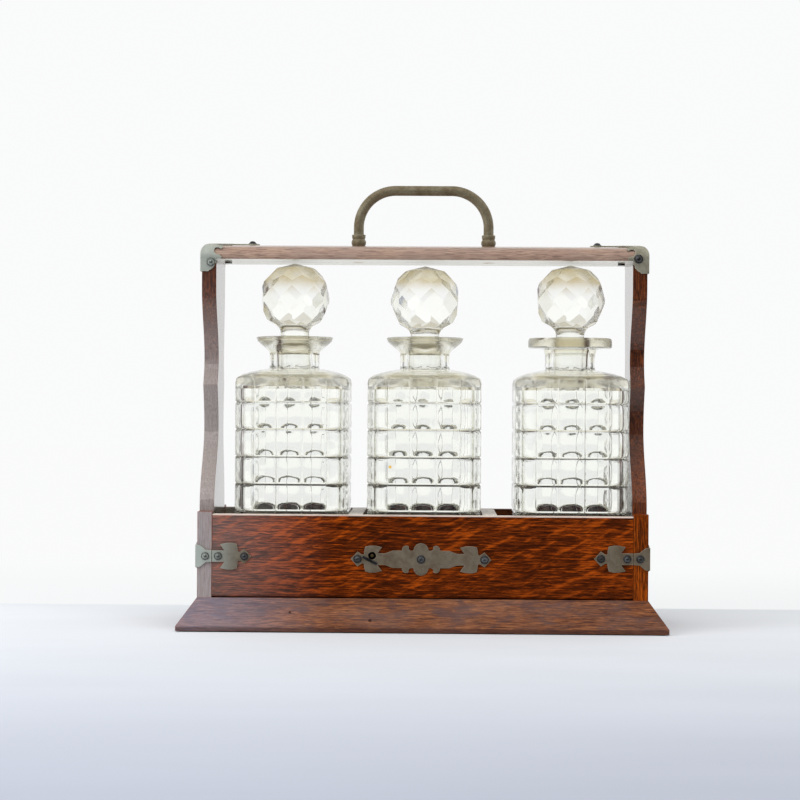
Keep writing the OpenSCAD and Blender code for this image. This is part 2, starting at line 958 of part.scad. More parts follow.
module case_studs() {
  color(bronze)
    for (s = [-1, 1])
      mirror([s < 0 ? 1 : 0, 0, 0]) {
        stud_front(case_screw_x, plate_y, strap_z, stud_r);
        translate([case_x + mount_t, side_stud_y, strap_z])
          rotate([0, 90, 0])
            stud(stud_r, stud_len + mount_t);
      }
}

// ---------- fall front ----------
module front_panel() {
  color(oak)
    difference() {
      union() {
        block([-panel_seam_x, -case_y, hinge_z], [panel_seam_x, panel_in_y, panel_top]);
        block([-panel_seam_x, hinge_y, panel_z], [panel_seam_x, panel_in_y, hinge_z]);
        rod_x([-panel_seam_x, hinge_y, hinge_z], hinge_inset, 2 * panel_seam_x);
      }
      for (s = [-1, 1])
        mirror([s < 0 ? 1 : 0, 0, 0])
          rod_x([panel_seam_x - pin_in_panel, hinge_y, hinge_z], pin_r, pin_in_panel + over);
      block(
        [lock_x - lock_w / 2, case_front, plate_z - lock_h / 2],
        [lock_x + lock_w / 2, panel_in_y + over, plate_z + lock_h / 2]
      );
      rod_y([keyhole_x, -case_y - over, keyhole_z], keyhole_r, panel_t);
      plate_stud_shanks();
      strap_shanks();
      rod_y([cover_x, plate_y, cover_z], rivet_r, mount_t + 0.9);
    }
}
module hinge_pins() {
  color(brass)
    for (s = [-1, 1])
      mirror([s < 0 ? 1 : 0, 0, 0])
        rod_x([panel_seam_x - pin_in_panel, hinge_y, hinge_z], pin_r, pin_in_panel + panel_gap + pin_in_post);
}

// ---------- lock ----------
module lock_slot(y0, y1) {
  block(
    [keep_x - slot_w / 2, y0, plate_z - slot_h / 2 - 2 * slide_gap],
    [keep_x + slot_w / 2, y1, plate_z + slot_h / 2]
  );
}
module lock_case() {
  color(brass)
    difference() {
      block(
        [lock_x - lock_w / 2, case_front, plate_z - lock_h / 2],
        [lock_x + lock_w / 2, lock_back - cap_t, plate_z + lock_h / 2]
      );
      block(
        [
          bolt_tip_x - bolt_throw - 2 * slide_gap,
          bolt_mid_y - bolt_t / 2 - slide_gap,
          plate_z - bolt_h / 2 - slide_gap
        ],
        [
          bolt_tip_x + bolt_len + slide_gap,
          lock_back - cap_t + over,
          plate_z + bolt_h / 2 + slide_gap
        ]
      );
      lock_slot(keep_front - 2 * slide_gap, lock_back);
      difference() {
        rod_y([keyhole_x, case_front - over, keyhole_z], keyhole_r, 2.2 + over);
        rod_y([keyhole_x, case_front, keyhole_z], lock_pin_r, 2.2 + over);
      }
      lock_screw_shapes();
      rod_y([keyhole_x, case_front - over, keyhole_z], lock_pin_r, 2.2 + over);
    }
}
module lock_cap() {
  color(brass)
    difference() {
      block(
        [lock_x - lock_w / 2, lock_back - cap_t, plate_z - lock_h / 2],
        [lock_x + lock_w / 2, lock_back, plate_z + lock_h / 2]
      );
      lock_slot(lock_back - cap_t - over, lock_back + over);
      lock_screw_shapes();
    }
}
module lock_screw_shapes() {
  for (x = [-1, 1])
    for (z = [-1, 1])
      rod_y(
        [lock_x + x * (lock_w / 2 - 2), lock_back - 3.4, plate_z + z * (lock_h / 2 - 2)],
        0.9, 3.4
      );
}
module lock_screws() {
  color(brass)
    lock_screw_shapes();
}
module lock_pin() {
  color(brass)
    rod_y([keyhole_x, -case_y - 0.2, keyhole_z], lock_pin_r, case_front + 2.2 + case_y + 0.2);
}
module lock_bolt() {
  color(brass)
    block(
      [bolt_tip_x, bolt_mid_y - bolt_t / 2, plate_z - bolt_h / 2],
      [bolt_tip_x + bolt_len, bolt_mid_y + bolt_t / 2, plate_z + bolt_h / 2]
    );
}
module lock_keep() {
  color(brass)
    difference() {
      union() {
        block(
          [keep_x - divider_t / 2, divider_y, plate_z - keep_plate_h / 2],
          [keep_x + divider_t / 2, divider_y + keep_plate_t, plate_z + keep_plate_h / 2]
        );
        block(
          [keep_x - keep_w / 2, keep_front, plate_z - keep_h / 2],
          [keep_x + keep_w / 2, divider_y + keep_plate_t, plate_z + keep_h / 2]
        );
      }
      block(
        [keep_x - keep_w, bolt_mid_y - bolt_t / 2 - slide_gap, plate_z - bolt_h / 2 - slide_gap],
        [keep_x + keep_w, bolt_mid_y + bolt_t / 2 + slide_gap, plate_z + bolt_h / 2 + slide_gap]
      );
      keep_screw_shapes();
    }
}
module keep_screw_shapes() {
  for (z = [-1, 1])
    rod_y([keep_x, divider_y, plate_z + z * (keep_plate_h / 2 - 3)], 1.2, 9);
}
module keep_screws() {
  color(brass)
    keep_screw_shapes();
}
module keyhole_cover() {
  color(metal)
    translate([cover_x, plate_y - slide_gap, cover_z])
      rotate([0, -cover_angle, 0])
        union() {
          block([0, -cover_t, -cover_w / 2], [cover_len - cover_w / 2, 0, cover_w / 2]);
          rod_y([0, -cover_t, 0], cover_w / 2, cover_t);
          rod_y([cover_len - cover_w / 2, -cover_t, 0], cover_w / 2, cover_t);
          rod_y([0, -cover_t, 0], rivet_r - pin_gap, cover_t + slide_gap + mount_t + 0.6);
        }
}

// ---------- glass ----------
// prism with cut corners, lessened by t on every side
module eight_sided(t, h) {
  half_w = decanter_w / 2 - t;
  half_d = decanter_d / 2 - t;
  cant = cant_half - t;
  intersection() {
    translate([-half_w, -half_d, 0])
      cube([2 * half_w, 2 * half_d, h]);
    rotate([0, 0, 45])
      translate([-cant, -cant, 0])
        cube([2 * cant, 2 * cant, h]);
  }
}
// long bar of square section, standing on an edge, for cutting a groove
module groove_bar(length) {
  side = groove_depth * sqrt(2);
  rotate([45, 0, 0])
    cube([length, side, side], center = true);
}
module level_grooves() {
  for (i = [0 : groove_rows - 1])
    for (a = [0 : 45 : 315])
      rotate([0, 0, a])
        translate([0, -flat_at(a + 90), groove_start + i * groove_pitch])
          groove_bar(decanter_w);
}
module upright_grooves() {
  top = groove_start + (groove_rows - 1) * groove_pitch;
  for (a = [0 : 90 : 270])
    rotate([0, 0, a])
      for (k = [-3, -1, 1])
        translate([k / 3 * (flat_at(a) - corner_cut), -flat_at(a + 90), top / 2 - over])
          rotate([0, 90, 0])
            groove_bar(top + 2 * over);
}
// half-space below a slope that falls outwards through two points (distance, height)
module below_slope(near, far) {
  drop = atan2(near[1] - far[1], far[0] - near[0]);
  translate([near[0], 0, near[1]])
    rotate([0, drop, 0])
      translate([-2 * neck_z, -neck_z, -2 * neck_z])
        cube([4 * neck_z, 2 * neck_z, 2 * neck_z]);
}
// flat-sided bottle with a faceted shoulder, lessened by t on every side
module bottle_form(t) {
  step_z = decanter_body_h + shoulder_step - t;
  intersection() {
    eight_sided(t, neck_z - t);
    intersection_for (a = [0 : 45 : 315]) {
      far = flat_at(a) - t;
      near = far - shoulder_inset;
      rotate([0, 0, a])
        intersection() {
          below_slope([near, step_z], [far, decanter_body_h - t]);
          below_slope([neck_r - t, neck_z - t], [near, step_z]);
        }
    }
  }
}
module glass_body() {
  difference() {
    bottle_form(0);
    level_grooves();
    upright_grooves();
  }
}
module glass_inside() {
  intersection() {
    bottle_form(glass_wall);
    translate([-decanter_w, -decanter_w, glass_bottom])
      cube([2 * decanter_w, 2 * decanter_w, neck_z]);
  }
}
module neck_outside(lip, lip_low, lip_edge) {
  rotate_extrude()
    polygon([
      [0, decanter_body_h - 2],
      [neck_r, decanter_body_h - 2],
      [neck_r, lip_h - lip_low],
      [lip - 1, lip_h - lip_edge],
      [lip, lip_h - lip_edge + 1],
      [lip, lip_h - 1],
      [lip - 1, lip_h],
      [0, lip_h]
    ]);
}
module decanter(lip, lip_low, lip_edge) {
  plug_top = stem_r + ground_gap;
  plug_end = stem_r - plug_taper + ground_gap;
  difference() {
    union() {
      glass_body();
      neck_outside(lip, lip_low, lip_edge);
    }
    glass_inside();
    translate([0, 0, lip_h - plug_len])
      cylinder(r1 = plug_end, r2 = plug_top, h = plug_len);
    translate([0, 0, lip_h - over])
      cylinder(r = plug_top, h = 2 * over);
    translate([0, 0, decanter_body_h - 10])
      cylinder(r = plug_end, h = lip_h - decanter_body_h + 10 - plug_len + over);
    // shallow flats round the neck
    for (a = [0 : 45 : 315])
      rotate([0, 0, a])
        block(
          [neck_r - 1, -20, neck_z + 0.8],
          [neck_r + 20, 20, lip_h - lip_low - 0.4]
        );
  }
}
module decanter_left() {
  color(glass)
    translate([decanter_left_x, 0, glass_z])
      decanter(lip_r, 9.5, 2.4);
}
module decanter_middle() {
  color(glass)
    translate([decanter_middle_x, 0, glass_z])
      decanter(lip_r, 9.5, 2.4);
}
module decanter_right() {
  color(glass)
    translate([decanter_right_x, 0, glass_z])
      decanter(lip_wide_r, 10.5, 7.6);
}
// faceted ball, centred at the origin
module facet_ball() {
  intersection_for (t = facet_tiers)
    intersection_for (i = [0 : t[1] - 1])
      rotate([0, 0, t[2] + i * (t[0] > 0 ? 360 : 180) / t[1]])
        rotate([0, -t[0], 0])
          cube([ball_d, 3 * ball_d, 3 * ball_d], center = true);
}
module stopper(rise) {
  ball_z = rise - ball_r;
  foot = ball_z - ball_r + 1.6;
  union() {
    intersection() {
      translate([0, 0, ball_z])
        facet_ball();
      translate([-ball_d, -ball_d, foot])
        cube([2 * ball_d, 2 * ball_d, ball_d]);
    }
    cylinder(r = stem_r, h = foot + 1);
    translate([0, 0, -plug_len])
      cylinder(r1 = stem_r - plug_taper, r2 = stem_r, h = plug_len);
  }
}
module stopper_left() {
  color(glass)
    translate([decanter_left_x, 0, glass_z + lip_h])
      stopper(stopper_left_rise);
}
module stopper_middle() {
  color(glass)
    translate([decanter_middle_x, 0, glass_z + lip_h])
      stopper(stopper_middle_rise);
}
module stopper_right() {
  color(glass)
    translate([decanter_right_x, 0, glass_z + lip_h])
      stopper(stopper_right_rise);
}

base_pad();
plinth_front();
plinth_back();
plinth_left();
plinth_right();
base_board();
end_left();
end_right();
post_front_left();
post_front_right();
post_back_left();
post_back_right();
back_board();
floor_board();
divider_left();
divider_right();
lining_left();
lining_middle();
lining_right();
top_bar();
bar_screws();
corner_left();
corner_right();
corner_studs();
under_nuts();
handle();
handle_collars();
handle_nuts();
case_strap_left();
case_strap_right();
case_studs();
front_panel();
hinge_pins();
panel_strap_left();
panel_strap_right();
strap_studs();
lock_plate();
plate_studs();
lock_case();
lock_cap();
lock_screws();
lock_pin();
lock_bolt();
lock_keep();
keep_screws();
keyhole_cover();
decanter_left();
decanter_middle();
decanter_right();
stopper_left();
stopper_middle();
stopper_right();
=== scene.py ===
import math

import bmesh
import bpy
from mathutils import Matrix, Vector


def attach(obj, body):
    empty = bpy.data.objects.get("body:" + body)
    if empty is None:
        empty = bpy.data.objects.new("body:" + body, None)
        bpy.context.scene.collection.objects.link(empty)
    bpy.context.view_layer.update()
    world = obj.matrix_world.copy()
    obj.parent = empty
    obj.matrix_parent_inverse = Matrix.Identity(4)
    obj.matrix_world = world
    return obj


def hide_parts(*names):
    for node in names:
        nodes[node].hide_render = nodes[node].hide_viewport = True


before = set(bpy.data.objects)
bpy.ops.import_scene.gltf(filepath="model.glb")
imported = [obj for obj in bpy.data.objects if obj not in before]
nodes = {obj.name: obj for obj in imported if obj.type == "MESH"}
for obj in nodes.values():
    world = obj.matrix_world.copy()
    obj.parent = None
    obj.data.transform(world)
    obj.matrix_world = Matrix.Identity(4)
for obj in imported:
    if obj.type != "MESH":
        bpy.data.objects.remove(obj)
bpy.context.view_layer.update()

MM = 0.001
ROUND = 64  # points round a turned piece
scene = bpy.context.scene


# ---------- material helpers ----------
def new_material(name):
    mat = bpy.data.materials.new(name)
    mat.use_nodes = True
    mat.node_tree.nodes.clear()
    return mat, mat.node_tree


def add(nt, kind, inputs=None, **props):
    node = nt.nodes.new(kind)
    for key, value in props.items():
        setattr(node, key, value)
    for key, value in (inputs or {}).items():
        if isinstance(value, bpy.types.NodeSocket):
            nt.links.new(value, node.inputs[key])
        else:
            node.inputs[key].default_value = value
    return node


def math_node(nt, op, a, b=0.0, clamp=False):
    return add(nt, "ShaderNodeMath", {0: a, 1: b}, operation=op, use_clamp=clamp).outputs[0]


def vec(nt, op, a, b):
    return add(nt, "ShaderNodeVectorMath", {0: a, 1: b}, operation=op).outputs[0]


def mix(nt, fac, a, b, blend="MIX"):
    return add(
        nt, "ShaderNodeMix", {0: fac, 6: a, 7: b}, data_type="RGBA", blend_type=blend
    ).outputs[2]


def span(nt, value, low, high, to_low=0.0, to_high=1.0):
    return add(
        nt,
        "ShaderNodeMapRange",
        {"Value": value, "From Min": low, "From Max": high, "To Min": to_low, "To Max": to_high},
        interpolation_type="SMOOTHSTEP",
    ).outputs[0]


def noise(nt, vector, scale, detail=4.0, rough=0.55, distort=0.0):
    return add(
        nt,
        "ShaderNodeTexNoise",
        {"Vector": vector, "Scale": scale, "Detail": detail, "Roughness": rough, "Distortion": distort},
    ).outputs[0]


def ramp(nt, fac, stops):
    node = add(nt, "ShaderNodeValToRGB", {0: fac})
    line = node.color_ramp
    line.elements[0].position, line.elements[1].position = stops[0][0], stops[-1][0]
    line.elements[0].color = (*stops[0][1], 1)
    line.elements[1].color = (*stops[-1][1], 1)
    for place, colour in stops[1:-1]:
        line.elements.new(place).color = (*colour, 1)
    return node.outputs[0]


def edge_wear_and_highlight(nt, radius, low, high):
    """How near a point is to an arris: 0 on flat faces, 1 along the edges; rubbed wear on oak, a painted
    highlight on metal.
    """
    soft = add(nt, "ShaderNodeBevel", {0: radius}, samples=4).outputs[0]
    true = add(nt, "ShaderNodeNewGeometry").outputs["True Normal"]
    same = add(nt, "ShaderNodeVectorMath", {0: soft, 1: true}, operation="DOT_PRODUCT").outputs["Value"]
    return soft, span(nt, same, low, high, 1.0, 0.0)


def front_facing(nt, rest):
    """1 on faces turned to the front, down to the rest value on the others."""
    normal = add(nt, "ShaderNodeNewGeometry").outputs["Normal"]
    return span(nt, add(nt, "ShaderNodeSeparateXYZ", {0: normal}).outputs[1], -0.5, -0.1, 1.0, rest)


def bumps(nt, strength, distance, height, normal=None):
    inputs = {"Strength": strength, "Distance": distance, "Height": height}
    if normal is not None:
        inputs["Normal"] = normal
    return add(nt, "ShaderNodeBump", inputs).outputs[0]


def finish_material(nt, shader):
    out = add(nt, "ShaderNodeOutputMaterial")
    nt.links.new(shader, out.inputs[0])


# ---------- oak ----------
def oak(
    name, axis, seed, dark, mid, light, fleck=0.6, haze=0.1, left_glare=0.0, gloss=0.3, edge=None,
    bare_and_lit_side=None, shade=0.0, coat=0.08, nicks=(), glare_colour=(0.345, 0.325, 0.33), highlight_line=None,
):
    """French-polished oak, grain along the given axis.

    haze is the bloom of old polish, and left_glare, in glare_colour, a painted glare on front faces at
    the left.
    edge is a painted shade, a dark strip at the foot (low, high, depth), and highlight_line the height
    of a painted highlight along the top arris.
    bare_and_lit_side makes one side pale (axis that its normal runs down, reach in x, colour): painted
    glare on the back board, and on the bar's underside bare oak with painted light from below; shade is
    a dark stain.
    nicks are dark marks (x, z, size).
    """
    mat, nt = new_material(name)
    place = add(nt, "ShaderNodeTexCoord").outputs["Object"]
    here = vec(nt, "ADD", place, (seed, seed * 0.37, seed * 0.61))
    wander = add(nt, "ShaderNodeTexNoise", {"Vector": here, "Scale": 26.0, "Detail": 2.0}).outputs[1]
    wander = vec(nt, "MULTIPLY", vec(nt, "SUBTRACT", wander, (0.5, 0.5, 0.5)), (0.003, 0.003, 0.003))
    here = vec(nt, "ADD", here, wander)

    def stretched(along, across):
        scale = [across] * 3
        scale["XYZ".index(axis)] = along
        return vec(nt, "MULTIPLY", here, scale)

    bands = noise(nt, stretched(26, 640), 1.0, 3.0, 0.7)
    fibres = noise(nt, stretched(70, 1400), 1.0, 3.0, 0.8)
    pores = noise(nt, stretched(95, 1500), 1.0, 1.0, 0.5, 0.1)
    zones = noise(nt, stretched(11, 34), 1.0, 3.0, 0.55)
    # silver grain: slanting patches that cross the grain
    turn = [0.0, 0.0, 0.0]
    turn[0 if axis == "Y" else 1] = math.radians(27)
    slant = add(nt, "ShaderNodeMapping", {"Vector": here, "Rotation": turn}).outputs[0]
    scale = [230.0] * 3
    scale["XYZ".index(axis)] = 38.0
    patches = noise(nt, vec(nt, "MULTIPLY", slant, scale), 1.0, 2.0, 0.5, 0.3)
    silver = math_node(nt, "MULTIPLY", span(nt, patches, 0.5, 0.72), fleck)

    figure = math_node(
        nt, "ADD", math_node(nt, "MULTIPLY", bands, 0.3), math_node(nt, "MULTIPLY", fibres, 0.7)
    )
    figure = math_node(nt, "ADD", figure, math_node(nt, "MULTIPLY", silver, 0.10))
    figure = math_node(nt, "ADD", figure, span(nt, zones, 0.3, 0.7, -0.045, 0.025))
    wood = ramp(nt, figure, [(0.40, dark), (0.5, mid), (0.62, light)])
    pore = span(nt, pores, 0.55, 0.62)
    pore = math_node(nt, "MULTIPLY", pore, span(nt, silver, 0.0, 0.6, 0.7, 0.35))
    wood = mix(nt, pore, wood, (dark[0] * 0.6, dark[1] * 0.6, dark[2] * 0.6, 1))
    if shade:
        blue = span(nt, noise(nt, stretched(60, 130), 1.0, 3.0, 0.6), 0.5, 0.66, 0.0, shade)
        wood = mix(nt, blue, wood, (0.070, 0.040, 0.042, 1))
    cloud = span(nt, noise(nt, stretched(22, 60), 1.0, 4.0, 0.6), 0.36, 0.68)
    amount = math_node(nt, "MULTIPLY", cloud, haze)
    split = add(nt, "ShaderNodeSeparateXYZ", {0: place})
    # painted glare: front faces at the left are mixed toward a pale colour, for the light falling there
    if left_glare:
        left = span(nt, split.outputs[0], -0.168, -0.06, left_glare, 0.0)
        left = math_node(nt, "MULTIPLY", left, span(nt, fibres, 0.3, 0.65, 0.6, 1.0))
        left = math_node(nt, "MULTIPLY", left, front_facing(nt, 0.2))
        if axis == "Z":
            high = span(nt, split.outputs[2], 0.165, 0.262, 1.0, 0.05)
            left = math_node(nt, "MULTIPLY", left, high)
        wood = mix(nt, left, wood, (*glare_colour, 1))
    wood = mix(nt, amount, wood, (0.25, 0.19, 0.175, 1))
    # painted shade: the board is darker towards its foot, where it meets what it stands on
    if edge:
        low, high, depth = edge
        wear_and_foot_shade = span(nt, split.outputs[2], low, high, depth, 0.0)
        wear_and_foot_shade = math_node(nt, "MULTIPLY", wear_and_foot_shade, span(nt, bands, 0.3, 0.7, 0.6, 1.0))
        wood = mix(nt, wear_and_foot_shade, wood, (dark[0] * 0.8, dark[1] * 0.8, dark[2] * 0.9, 1))
    # painted highlight: a pale line along the top arris, where it catches the light
    if highlight_line:
        line = span(nt, split.outputs[2], highlight_line - 0.0006, highlight_line, 0.0, 0.9)
        line = math_node(nt, "MULTIPLY", line, span(nt, bands, 0.3, 0.6, 0.6, 1.0))
        wood = mix(nt, line, wood, (0.92, 0.82, 0.72, 1))
    # painted light: faces turned the given way are mixed toward a pale colour; painted glare on the back
    # board's inner face, and on the bar's underside bare oak with painted light from below
    if bare_and_lit_side:
        towards, reach, pale = bare_and_lit_side
        normal = add(nt, "ShaderNodeNewGeometry").outputs["Normal"]
        facing = add(nt, "ShaderNodeSeparateXYZ", {0: normal})
        under = span(nt, facing.outputs[towards], -0.9, -0.4, 1.0, 0.0)
        within = span(nt, split.outputs[0], reach, reach + 0.02, 1.0, 0.0)
        under = math_node(nt, "MULTIPLY", under, within)
        wood = mix(nt, under, wood, (*pale, 1))
    for x, z, size in nicks:
        away = vec(nt, "MULTIPLY", vec(nt, "SUBTRACT", place, (x, 0.0, z)), (0.8, 0.0, 1.0))
        away = add(nt, "ShaderNodeVectorMath", {0: away}, operation="LENGTH").outputs["Value"]
        ragged = math_node(nt, "MULTIPLY", noise(nt, place, 900.0, 2.0), size * 0.8)
        away = math_node(nt, "ADD", away, ragged)
        wood = mix(nt, span(nt, away, size, size * 1.5, 0.85, 0.0), wood, (0.012, 0.008, 0.010, 1))
    soft, rub_and_highlight = edge_wear_and_highlight(nt, 0.0008, 0.86, 0.99)
    wood = mix(nt, math_node(nt, "MULTIPLY", rub_and_highlight, 0.35), wood, (*[c * 1.35 for c in light], 1))
    rough = span(nt, fibres, 0.3, 0.7, gloss, gloss + 0.14)
    rough = math_node(nt, "ADD", rough, math_node(nt, "MULTIPLY", amount, 0.2))
    height = math_node(
        nt, "SUBTRACT", math_node(nt, "MULTIPLY", fibres, 0.6), math_node(nt, "MULTIPLY", pore, 0.4)
    )
    bump = bumps(nt, 0.35, 0.0003, height, soft)
    shader = add(
        nt,
        "ShaderNodeBsdfPrincipled",
        {
            "Base Color": wood,
            "Roughness": rough,
            "Normal": bump,
            "Coat Weight": coat,
            "Coat Roughness": 0.12,
            "Specular IOR Level": 0.32,
            "Specular Tint": (1.0, 0.42, 0.16, 1.0),
        },
    )
    finish_material(nt, shader.outputs[0])
    return mat


# ---------- metal ----------
def metal(
    name, seed, low, high, stain, metallic=0.8, rough=(0.38, 0.6), pits=0.4, left_metal_glare=0.0, edge_highlight=0.6
):
    """Tarnished metal with clouds of patina, dark specks and fine scratches."""
    mat, nt = new_material(name)
    place = add(nt, "ShaderNodeTexCoord").outputs["Object"]
    here = vec(nt, "ADD", place, (seed, seed * 0.7, seed * 0.3))
    clouds = noise(nt, here, 120.0, 5.0, 0.62, 0.3)
    specks = noise(nt, here, 900.0, 3.0, 0.5)
    rubs = noise(nt, vec(nt, "MULTIPLY", here, (300, 300, 2600)), 1.0, 2.0)
    colour = ramp(nt, clouds, [(0.36, low), (0.64, high)])
    dirt = math_node(nt, "MULTIPLY", span(nt, specks, 0.55, 0.68), pits)
    colour = mix(nt, dirt, colour, (*stain, 1))
    colour = mix(nt, span(nt, rubs, 0.6, 0.72, 0.0, 0.3), colour, (*[c * 1.5 for c in high], 1))
    roughness = math_node(
        nt, "ADD", span(nt, clouds, 0.3, 0.7, rough[1], rough[0]), math_node(nt, "MULTIPLY", dirt, 0.25)
    )
    # painted glare: front faces at the left are mixed toward a pale grey-green
    if left_metal_glare:
        x = add(nt, "ShaderNodeSeparateXYZ", {0: place}).outputs[0]
        glare_mask = span(nt, x, -0.164, -0.128, left_metal_glare, 0.0)
        glare_mask = math_node(nt, "MULTIPLY", glare_mask, front_facing(nt, 0.3))
        colour = mix(nt, glare_mask, colour, (0.50, 0.55, 0.505, 1))
    height = math_node(
        nt, "SUBTRACT", math_node(nt, "MULTIPLY", clouds, 0.6), math_node(nt, "MULTIPLY", dirt, 0.5)
    )
    # painted highlight: the metal's edges are lighter, where their bevels catch the light
    soft, rub_and_highlight = edge_wear_and_highlight(nt, 0.0007, 0.84, 0.99)
    rub_and_highlight = math_node(nt, "MULTIPLY", rub_and_highlight, edge_highlight)
    colour = mix(nt, rub_and_highlight, colour, (*[min(0.8, c * 2.2) for c in high], 1))
    bump = bumps(nt, 0.3, 0.00025, height, soft)
    shader = add(
        nt,
        "ShaderNodeBsdfPrincipled",
        {"Base Color": colour, "Metallic": metallic, "Roughness": roughness, "Normal": bump},
    )
    finish_material(nt, shader.outputs[0])
    return mat


def baize(name):
    """Dark green cloth, worn thin in patches."""
    mat, nt = new_material(name)
    place = add(nt, "ShaderNodeTexCoord").outputs["Object"]
    fuzz = noise(nt, place, 2200.0, 3.0, 0.7)
    wear_and_foot_shade = noise(nt, place, 45.0, 4.0, 0.6)
    colour = ramp(nt, fuzz, [(0.3, (0.012, 0.03, 0.02)), (0.7, (0.035, 0.075, 0.048))])
    colour = mix(nt, span(nt, wear_and_foot_shade, 0.5, 0.75, 0.0, 0.5), colour, (0.1, 0.1, 0.075, 1))
    bump = bumps(nt, 0.8, 0.0003, fuzz)
    shader = add(
        nt,
        "ShaderNodeBsdfPrincipled",
        {
            "Base Color": colour,
            "Roughness": 0.95,
            "Normal": bump,
            "Sheen Weight": 0.4,
            "Sheen Roughness": 0.5,
        },
    )
    finish_material(nt, shader.outputs[0])
    return mat


def cut_glass(name, seed, stopper=False, fleck=None):
    """Old lead glass: a painted tan at the shoulder, lip and ball's top, for the tan surroundings seen
    through the glass, and frost where the plug is ground in.

    Heights are in the piece's own frame. fleck is the place of the orange speck.
    """
    mat, nt = new_material(name)
    place = add(nt, "ShaderNodeTexCoord").outputs["Object"]
    here = vec(nt, "ADD", place, (seed, 0.0, seed))
    split = add(nt, "ShaderNodeSeparateXYZ", {0: place})
    z = split.outputs[2]
    flat = vec(nt, "MULTIPLY", place, (1.0, 1.0, 0.0))
    radius = add(nt, "ShaderNodeVectorMath", {0: flat}, operation="LENGTH").outputs["Value"]
    clouds = noise(nt, here, 30.0, 3.0)
    colour = ramp(nt, clouds, [(0.3, (0.972, 0.982, 0.960)), (0.7, (0.995, 0.995, 0.982))])
    least, most = (0.07, 0.1) if stopper else (0.0, 0.05)
    dust = span(nt, noise(nt, here, 420.0, 4.0, 0.7), 0.6, 0.8, least, most)
    blotch = span(nt, noise(nt, here, 70.0, 4.0, 0.6), 0.3, 0.7, 0.7, 1.0)
    if stopper:
        painted_tan = math_node(nt, "MULTIPLY", span(nt, z, 0.030, 0.050), 1.7, clamp=True)
        frost = span(nt, z, -0.0075, -0.0065)
        frost = math_node(nt, "MULTIPLY", frost, span(nt, z, -0.0006, 0.0, 1.0, 0.0))
    else:
        outside = math_node(nt, "MAXIMUM", span(nt, radius, 0.029, 0.031), span(nt, z, 0.1515, 0.1525))
        shoulder = span(nt, z, 0.1425, 0.1445)
        shoulder = math_node(nt, "MULTIPLY", shoulder, span(nt, z, 0.150, 0.158, 1.0, 0.0))
        shoulder = math_node(nt, "MULTIPLY", shoulder, outside)
        lip = span(nt, z, 0.1715, 0.1745)
        painted_tan = math_node(
            nt, "ADD", math_node(nt, "MULTIPLY", shoulder, 0.68), math_node(nt, "MULTIPLY", lip, 0.72)
        )
        bore = span(nt, radius, 0.0117, 0.0121, 1.0, 0.0)
        bore = math_node(nt, "MULTIPLY", bore, span(nt, z, 0.150, 0.156))
        frost = math_node(nt, "MULTIPLY", bore, span(nt, z, 0.1720, 0.1735))
    painted_tan = math_node(nt, "MULTIPLY", painted_tan, blotch)
    # painted reflection: tan tint for the surroundings seen through the shoulder, lip and crown
    colour = mix(nt, painted_tan, colour, (0.57, 0.45, 0.21, 1) if stopper else (0.80, 0.74, 0.52, 1))
    colour = mix(nt, math_node(nt, "MULTIPLY", frost, 0.5), colour, (0.93, 0.88, 0.74, 1))
    if fleck:
        away = vec(nt, "SUBTRACT", place, fleck)
        away = add(nt, "ShaderNodeVectorMath", {0: away}, operation="LENGTH").outputs["Value"]
        colour = mix(nt, span(nt, away, 0.0009, 0.0016, 1.0, 0.0), colour, (0.95, 0.42, 0.02, 1))
    rough = math_node(nt, "ADD", dust, math_node(nt, "MULTIPLY", painted_tan, 0.12 if stopper else 0.3))
    rough = math_node(nt, "ADD", rough, math_node(nt, "MULTIPLY", frost, 0.12))
    wave = noise(nt, here, 110.0, 2.0, 0.4)
    bump = bumps(nt, 0.25, 0.0004, wave)
    shader = add(
        nt,
        "ShaderNodeBsdfPrincipled",
        {
            "Base Color": colour,
            "Roughness": rough,
            "IOR": 1.53,
            "Transmission Weight": 1.0,
            "Specular IOR Level": 0.5,
            "Normal": bump,
        },
    )
    finish_material(nt, shader.outputs[0])
    return mat


# ---------- palette ----------
PLINTH_TONES = ((0.070, 0.032, 0.027), (0.195, 0.068, 0.030), (0.34, 0.135, 0.055))
PLINTH_FOOT_SHADE = (0.0028, 0.0045, 0.75)
# bluish colour of the plinth's painted glare
PLINTH_GLARE = (0.29, 0.315, 0.42)
SATIN = (0.42, 0.60)

OAK_PANEL = oak(
    "oak_panel_mat", "X", 0.0, (0.032, 0.0050, 0.0016), (0.118, 0.0170, 0.0014), (0.43, 0.070, 0.0028),
    1.0, 0.0, 0.37, 0.34, (0.026, 0.045, 0.22), coat=0.04, glare_colour=(0.29, 0.305, 0.31), highlight_line=0.0838,
)
OAK_BACK = oak(
    "oak_back_mat", "X", 1.7, (0.028, 0.007, 0.004), (0.108, 0.024, 0.005), (0.34, 0.078, 0.009),
    0.7, 0.12, 0.75, 0.34, bare_and_lit_side=(1, -0.13, (0.62, 0.59, 0.50)),
)
OAK_PLINTH = oak(
    "oak_plinth_mat", "X", 3.1, *PLINTH_TONES, 0.1, 0.16, 0.5, 0.36, PLINTH_FOOT_SHADE, shade=0.65,
    glare_colour=PLINTH_GLARE, nicks=((-0.0954, 0.0141, 0.0009), (-0.0375, 0.009, 0.0012)),
)
OAK_PLINTH_Y = oak(
    "oak_plinth_end_mat", "Y", 5.3, *PLINTH_TONES, 0.1, 0.16, 0.4, 0.36, PLINTH_FOOT_SHADE, shade=0.65,
    glare_colour=PLINTH_GLARE,
)
OAK_END = oak(
    "oak_end_mat", "Z", 7.7, (0.030, 0.008, 0.005), (0.100, 0.024, 0.008), (0.25, 0.060, 0.014),
    0.3, 0.08, 1.0, 0.24, coat=1.0, glare_colour=(0.385, 0.35, 0.335),
)
